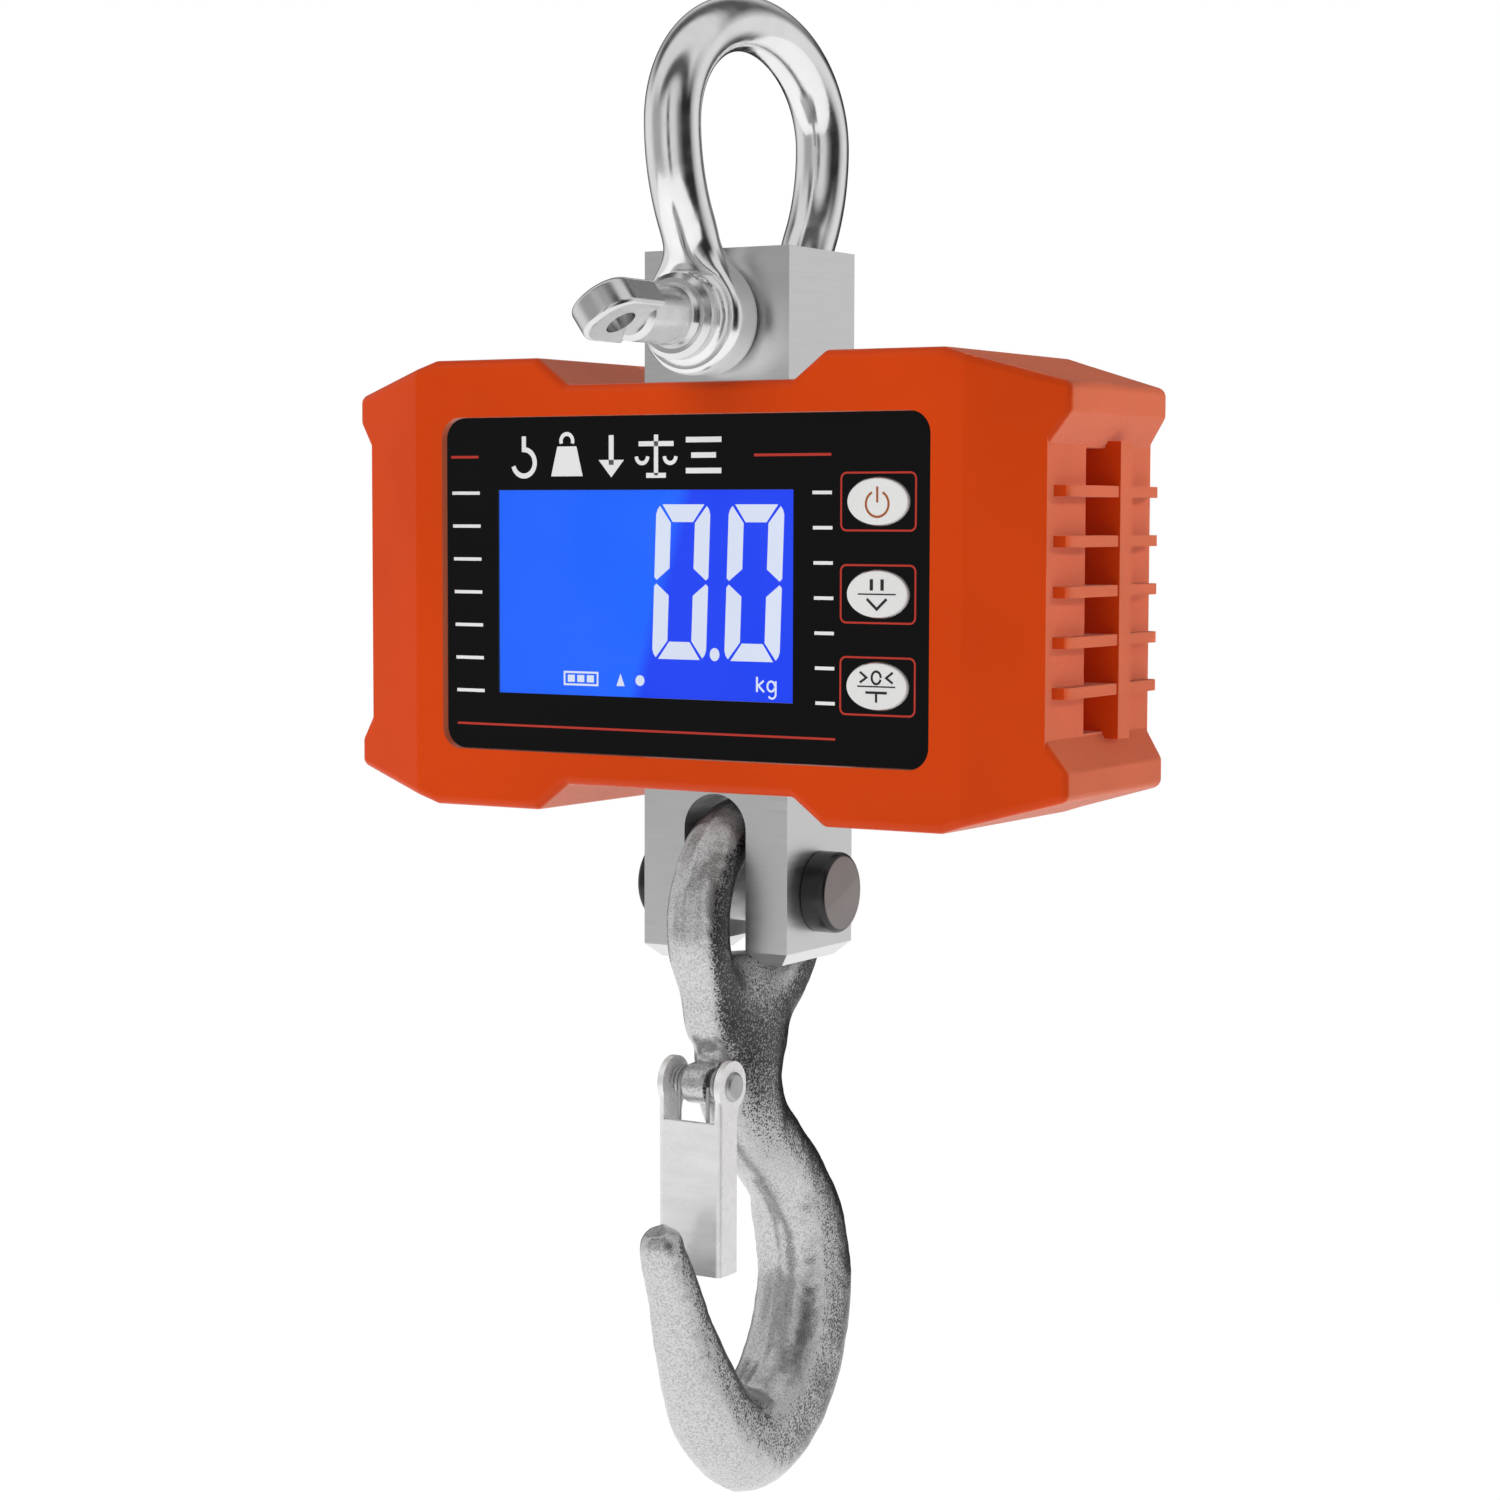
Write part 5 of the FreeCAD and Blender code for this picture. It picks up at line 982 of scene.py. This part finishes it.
def digit_zero(centre, width, thick, gap):
    """Six bars of a seven-bar zero, leaning a little, with cut corners between them."""
    half = width / 2
    tall = (DIGIT_TOP - DIGIT_LOW) / 2
    middle = (DIGIT_TOP + DIGIT_LOW) / 2
    cut = gap / 2
    bars = []
    for level in (-1, 1):
        outer = tall * level
        inner = (tall - thick) * level
        bars.append([(-half + 1.6, outer), (half - 1.6, outer), (half - thick - 0.5, inner),
                     (-half + thick + 0.5, inner)])
        for side in (-1, 1):
            edge = half * side
            deep = (half - thick) * side
            near = cut * level
            bars.append([(edge, (tall - 2.2) * level), (edge - 0.35 * side, (tall - 1.1) * level),
                         (edge - 0.95 * side, (tall - 0.35) * level),
                         (deep, (tall - thick - 0.2) * level), (deep, near + 2.6 * level),
                         (edge - 0.6 * side, near), (edge, near + 0.6 * level)])
    return [[(centre + x + z * DIGIT_SLANT, middle + z) for x, z in bar] for bar in bars]


def panel_print():
    """Scale ticks, rules, pictograms and frames printed on the black panel."""
    white = []
    for row in range(7):
        z = TICK_TOP - row * TICK_PITCH
        x = -61.9 + row * 0.2
        white.extend(stroke([(x, z), (x + 7.8, z)], TICK))
        x = 34.0 + row * 0.16
        white.extend(stroke([(x, z), (x + 4.8, z)], TICK))
    white.extend(pictograms())
    red = []
    red.extend(stroke([(-62.2, TITLE_ROW), (-54.4, TITLE_ROW)], 0.6))
    red.extend(stroke([(19.3, TITLE_ROW - 0.1), (38.6, TITLE_ROW - 0.1)], 0.6))
    red.extend(stroke([(-60.6, FOOT_ROW), (39.9, FOOT_ROW)], 0.5))
    for height in BUTTON_HEIGHTS:
        red.extend(stroke(rounded_frame(41.1, 59.2, height - 6.15, height + 6.15, 1.3), 0.42, True))
    print_piece("panel_marks", white, PANEL_FACE, INK, materials["ink_white"], "scale_body", "button_white")
    print_piece("panel_rules", red, PANEL_FACE, INK, materials["ink_red"], "scale_body", "lead_red")


def pictograms():
    """Five plain signs in the place of a title: hook, weight, arrow, beam and level."""
    middle = TITLE_ROW
    signs = []
    x = -41.7
    signs.extend(stroke([(x, middle + 4.6)] + arc(x, middle - 1.4, 3.0, 90, -165, 20), 1.15))
    x = -29.9
    signs.append([(x - 2.6, middle + 2.2), (x + 2.6, middle + 2.2),
                  (x + 4.3, middle - 4.5), (x - 4.3, middle - 4.5)])
    signs.extend(stroke(arc(x, middle + 3.4, 1.6, 200, -20, 14), 0.9))
    x = -17.9
    signs.extend(stroke([(x, middle + 4.6), (x, middle - 2.0)], 1.3))
    signs.append([(x - 3.4, middle - 0.9), (x + 3.4, middle - 0.9), (x, middle - 4.8)])
    x = -6.0
    signs.extend(stroke([(x - 4.6, middle + 2.6), (x + 4.6, middle + 2.6)], 1.1))
    signs.extend(stroke([(x, middle + 4.6), (x, middle - 4.4)], 1.1))
    signs.extend(stroke([(x - 2.6, middle - 4.4), (x + 2.6, middle - 4.4)], 1.1))
    for side in (-1, 1):
        signs.extend(stroke(arc(x + 3.7 * side, middle - 0.2, 1.5, 180, 360, 10), 0.9))
    x = 6.4
    for level, reach in ((3.4, 4.6), (0.0, 3.2), (-3.4, 4.6)):
        signs.extend(stroke([(x - reach, middle + level), (x + reach, middle + level)], 1.2))
    return signs


def screen():
    """Lit display: blue field, bright bars, and a clear sheet over them."""
    low, high = (Vector(corner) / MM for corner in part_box("display_window"))
    edge = [(low.x, low.z), (high.x, low.z), (high.x, high.z), (low.x, high.z)]
    print_piece("screen_field", [edge], high.y, SCREEN_DEPTH, materials["display_blue"], "scale_body",
                "display_blue")
    front = high.y - SCREEN_DEPTH
    shapes = []
    for centre in (0.25, 19.1):
        shapes.extend(digit_zero(centre, 14.1, 3.9, 0.8))
    shapes.extend(dot(9.0, -135.2, 1.25, 1.45))
    shapes.extend(small_signs())
    print_piece("screen_bars", shapes, front, INK, materials["bar_white"], "scale_body", "button_white")
    sheet = print_piece("screen_sheet", [edge], low.y + SHEET_DEPTH, SHEET_DEPTH,
                        materials["window_clear"], "scale_body", "window_clear")
    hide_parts("display_window")


def small_signs():
    """The unit, and three plain status signs under the digits."""
    signs = []
    z = STATUS_ROW
    x = 19.9
    signs.extend(stroke([(x, z + 1.7), (x, z - 1.6)], 0.5))
    signs.extend(stroke([(x + 1.7, z + 0.9), (x + 0.35, z - 0.2), (x + 1.8, z - 1.6)], 0.45))
    signs.extend(stroke(arc(x + 3.6, z - 0.3, 0.95, 0, 345, 20, 1.1), 0.45))
    tail = arc(x + 3.8, z - 2.0, 0.95, 0, -150, 8)
    signs.extend(stroke([(x + 4.75, z + 0.9), (x + 4.75, z - 1.9)] + tail, 0.45))
    x = -26.0
    outline = [(x - 5, z - 1.4), (x - 5, z + 1.4), (x + 4, z + 1.4), (x + 4, z - 1.4)]
    signs.extend(stroke(outline, 0.45, True))
    for step in range(3):
        left = x - 4.1 + step * 2.6
        signs.append([(left, z - 0.8), (left + 1.9, z - 0.8), (left + 1.9, z + 0.8), (left, z + 0.8)])
    signs.append([(-16.9, z - 1.4), (-14.7, z - 1.4), (-15.8, z + 1.4)])
    signs.extend(dot(-10.6, z, 1.2))
    return signs


def button_print():
    """A plain sign on each button: on and off, pause, and zero between arrows."""
    x = BUTTON_COLUMN
    top, middle, low = BUTTON_HEIGHTS
    power = stroke(arc(x, top - 0.5, 2.75, 118, 422, 30), 0.5)
    power.extend(stroke([(x, top + 3.2), (x, top - 0.2)], 0.5))
    print_piece("sign_power", power, BUTTON_FACE, INK, materials["ink_amber"], "power_button", "lead_red")
    pause = []
    for side in (-1, 1):
        pause.extend(stroke([(x + side * 1.3, middle + 3.2), (x + side * 1.3, middle + 0.8)], 0.8))
    pause.extend(stroke([(x - 4.6, middle), (x + 4.6, middle)], 0.3))
    pause.extend(stroke([(x - 2.4, middle - 1.0), (x, middle - 3.2), (x + 2.4, middle - 1.0)], 0.6))
    print_piece("sign_hold", pause, BUTTON_FACE, INK, materials["ink_black"], "hold_button", "panel_black")
    zero = stroke(arc(x, low + 1.9, 1.1, 0, 345, 20, 1.35), 0.5)
    for side in (-1, 1):
        zero.extend(stroke([(x + side * 4.0, low + 3.1), (x + side * 2.4, low + 1.9),
                            (x + side * 4.0, low + 0.8)], 0.5))
    zero.extend(stroke([(x - 4.6, low), (x + 4.6, low)], 0.3))
    zero.extend(stroke([(x - 2.6, low - 1.3), (x + 2.6, low - 1.3)], 0.55))
    zero.extend(stroke([(x, low - 1.6), (x, low - 3.4)], 0.55))
    print_piece("sign_tare", zero, BUTTON_FACE, INK, materials["ink_black"], "tare_button", "panel_black")


# ---- carried-over nodes --------------------------------------------------------------

# Bevel widths in mm; a node that isn't named gets a sharp-edged finish.
EDGES = {
    "front_shell": 0.45, "rear_shell": 0.45, "load_cell": 0.4, "pin_cap_left": 0.5, "pin_cap_right": 0.5,
    "shackle_pin": 0.5, "latch_plate": 0.3, "latch_pin": 0.25, "panel_overlay": 0.12, "battery_door": 0.35,
    "power_button": 0.35, "hold_button": 0.35, "tare_button": 0.35, "hook_pin": 0.4,
}
# Points closer than SAME_POINT metres are made one, and facets that turn by less than
# SAME_FACE degrees one face. An edge of more than SHARP_EDGE degrees is softened or split.
SAME_POINT = 0.000002
SAME_FACE = 0.6
SHARP_EDGE = 34


def dress_node(node, material, width):
    """Give a CAD node its material, welded smooth shading and softened edges."""
    mesh = node.data
    mesh.materials.clear()
    mesh.materials.append(material)
    shade_smooth(mesh)
    weld = node.modifiers.new("weld", "WELD")
    weld.merge_threshold = SAME_POINT
    flat = node.modifiers.new("flat", "DECIMATE")
    flat.decimate_type = "DISSOLVE"
    flat.angle_limit = math.radians(SAME_FACE)
    if width:
        soften = node.modifiers.new("soften", "BEVEL")
        soften.width = width * MM
        soften.segments = 3
        soften.limit_method = "ANGLE"
        soften.angle_limit = math.radians(SHARP_EDGE)
        soften.miter_outer = "MITER_ARC"
    else:
        split = node.modifiers.new("split", "EDGE_SPLIT")
        split.split_angle = math.radians(SHARP_EDGE)
    even = node.modifiers.new("even", "WEIGHTED_NORMAL")
    even.mode = "FACE_AREA"
    even.weight = 60
    even.keep_sharp = True


bpy.context.scene.view_settings.view_transform = "Standard"
add_camera()
add_studio()
materials = make_materials()
slot_of = {entry["node"]: entry["material_slot"] for entry in frame["record"]["subparts"]}
for name, node in NODES.items():
    dress_node(node, materials[slot_of[name]], EDGES.get(name, 0))
    node.visible_glossy = slot_of[name] in MIRRORED
BUTTON_HEIGHTS = [(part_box(name)[0].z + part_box(name)[1].z) / 2 / MM
                  for name in ("power_button", "hold_button", "tare_button")]
make_bow()
make_hook()
panel_print()
screen()
button_print()
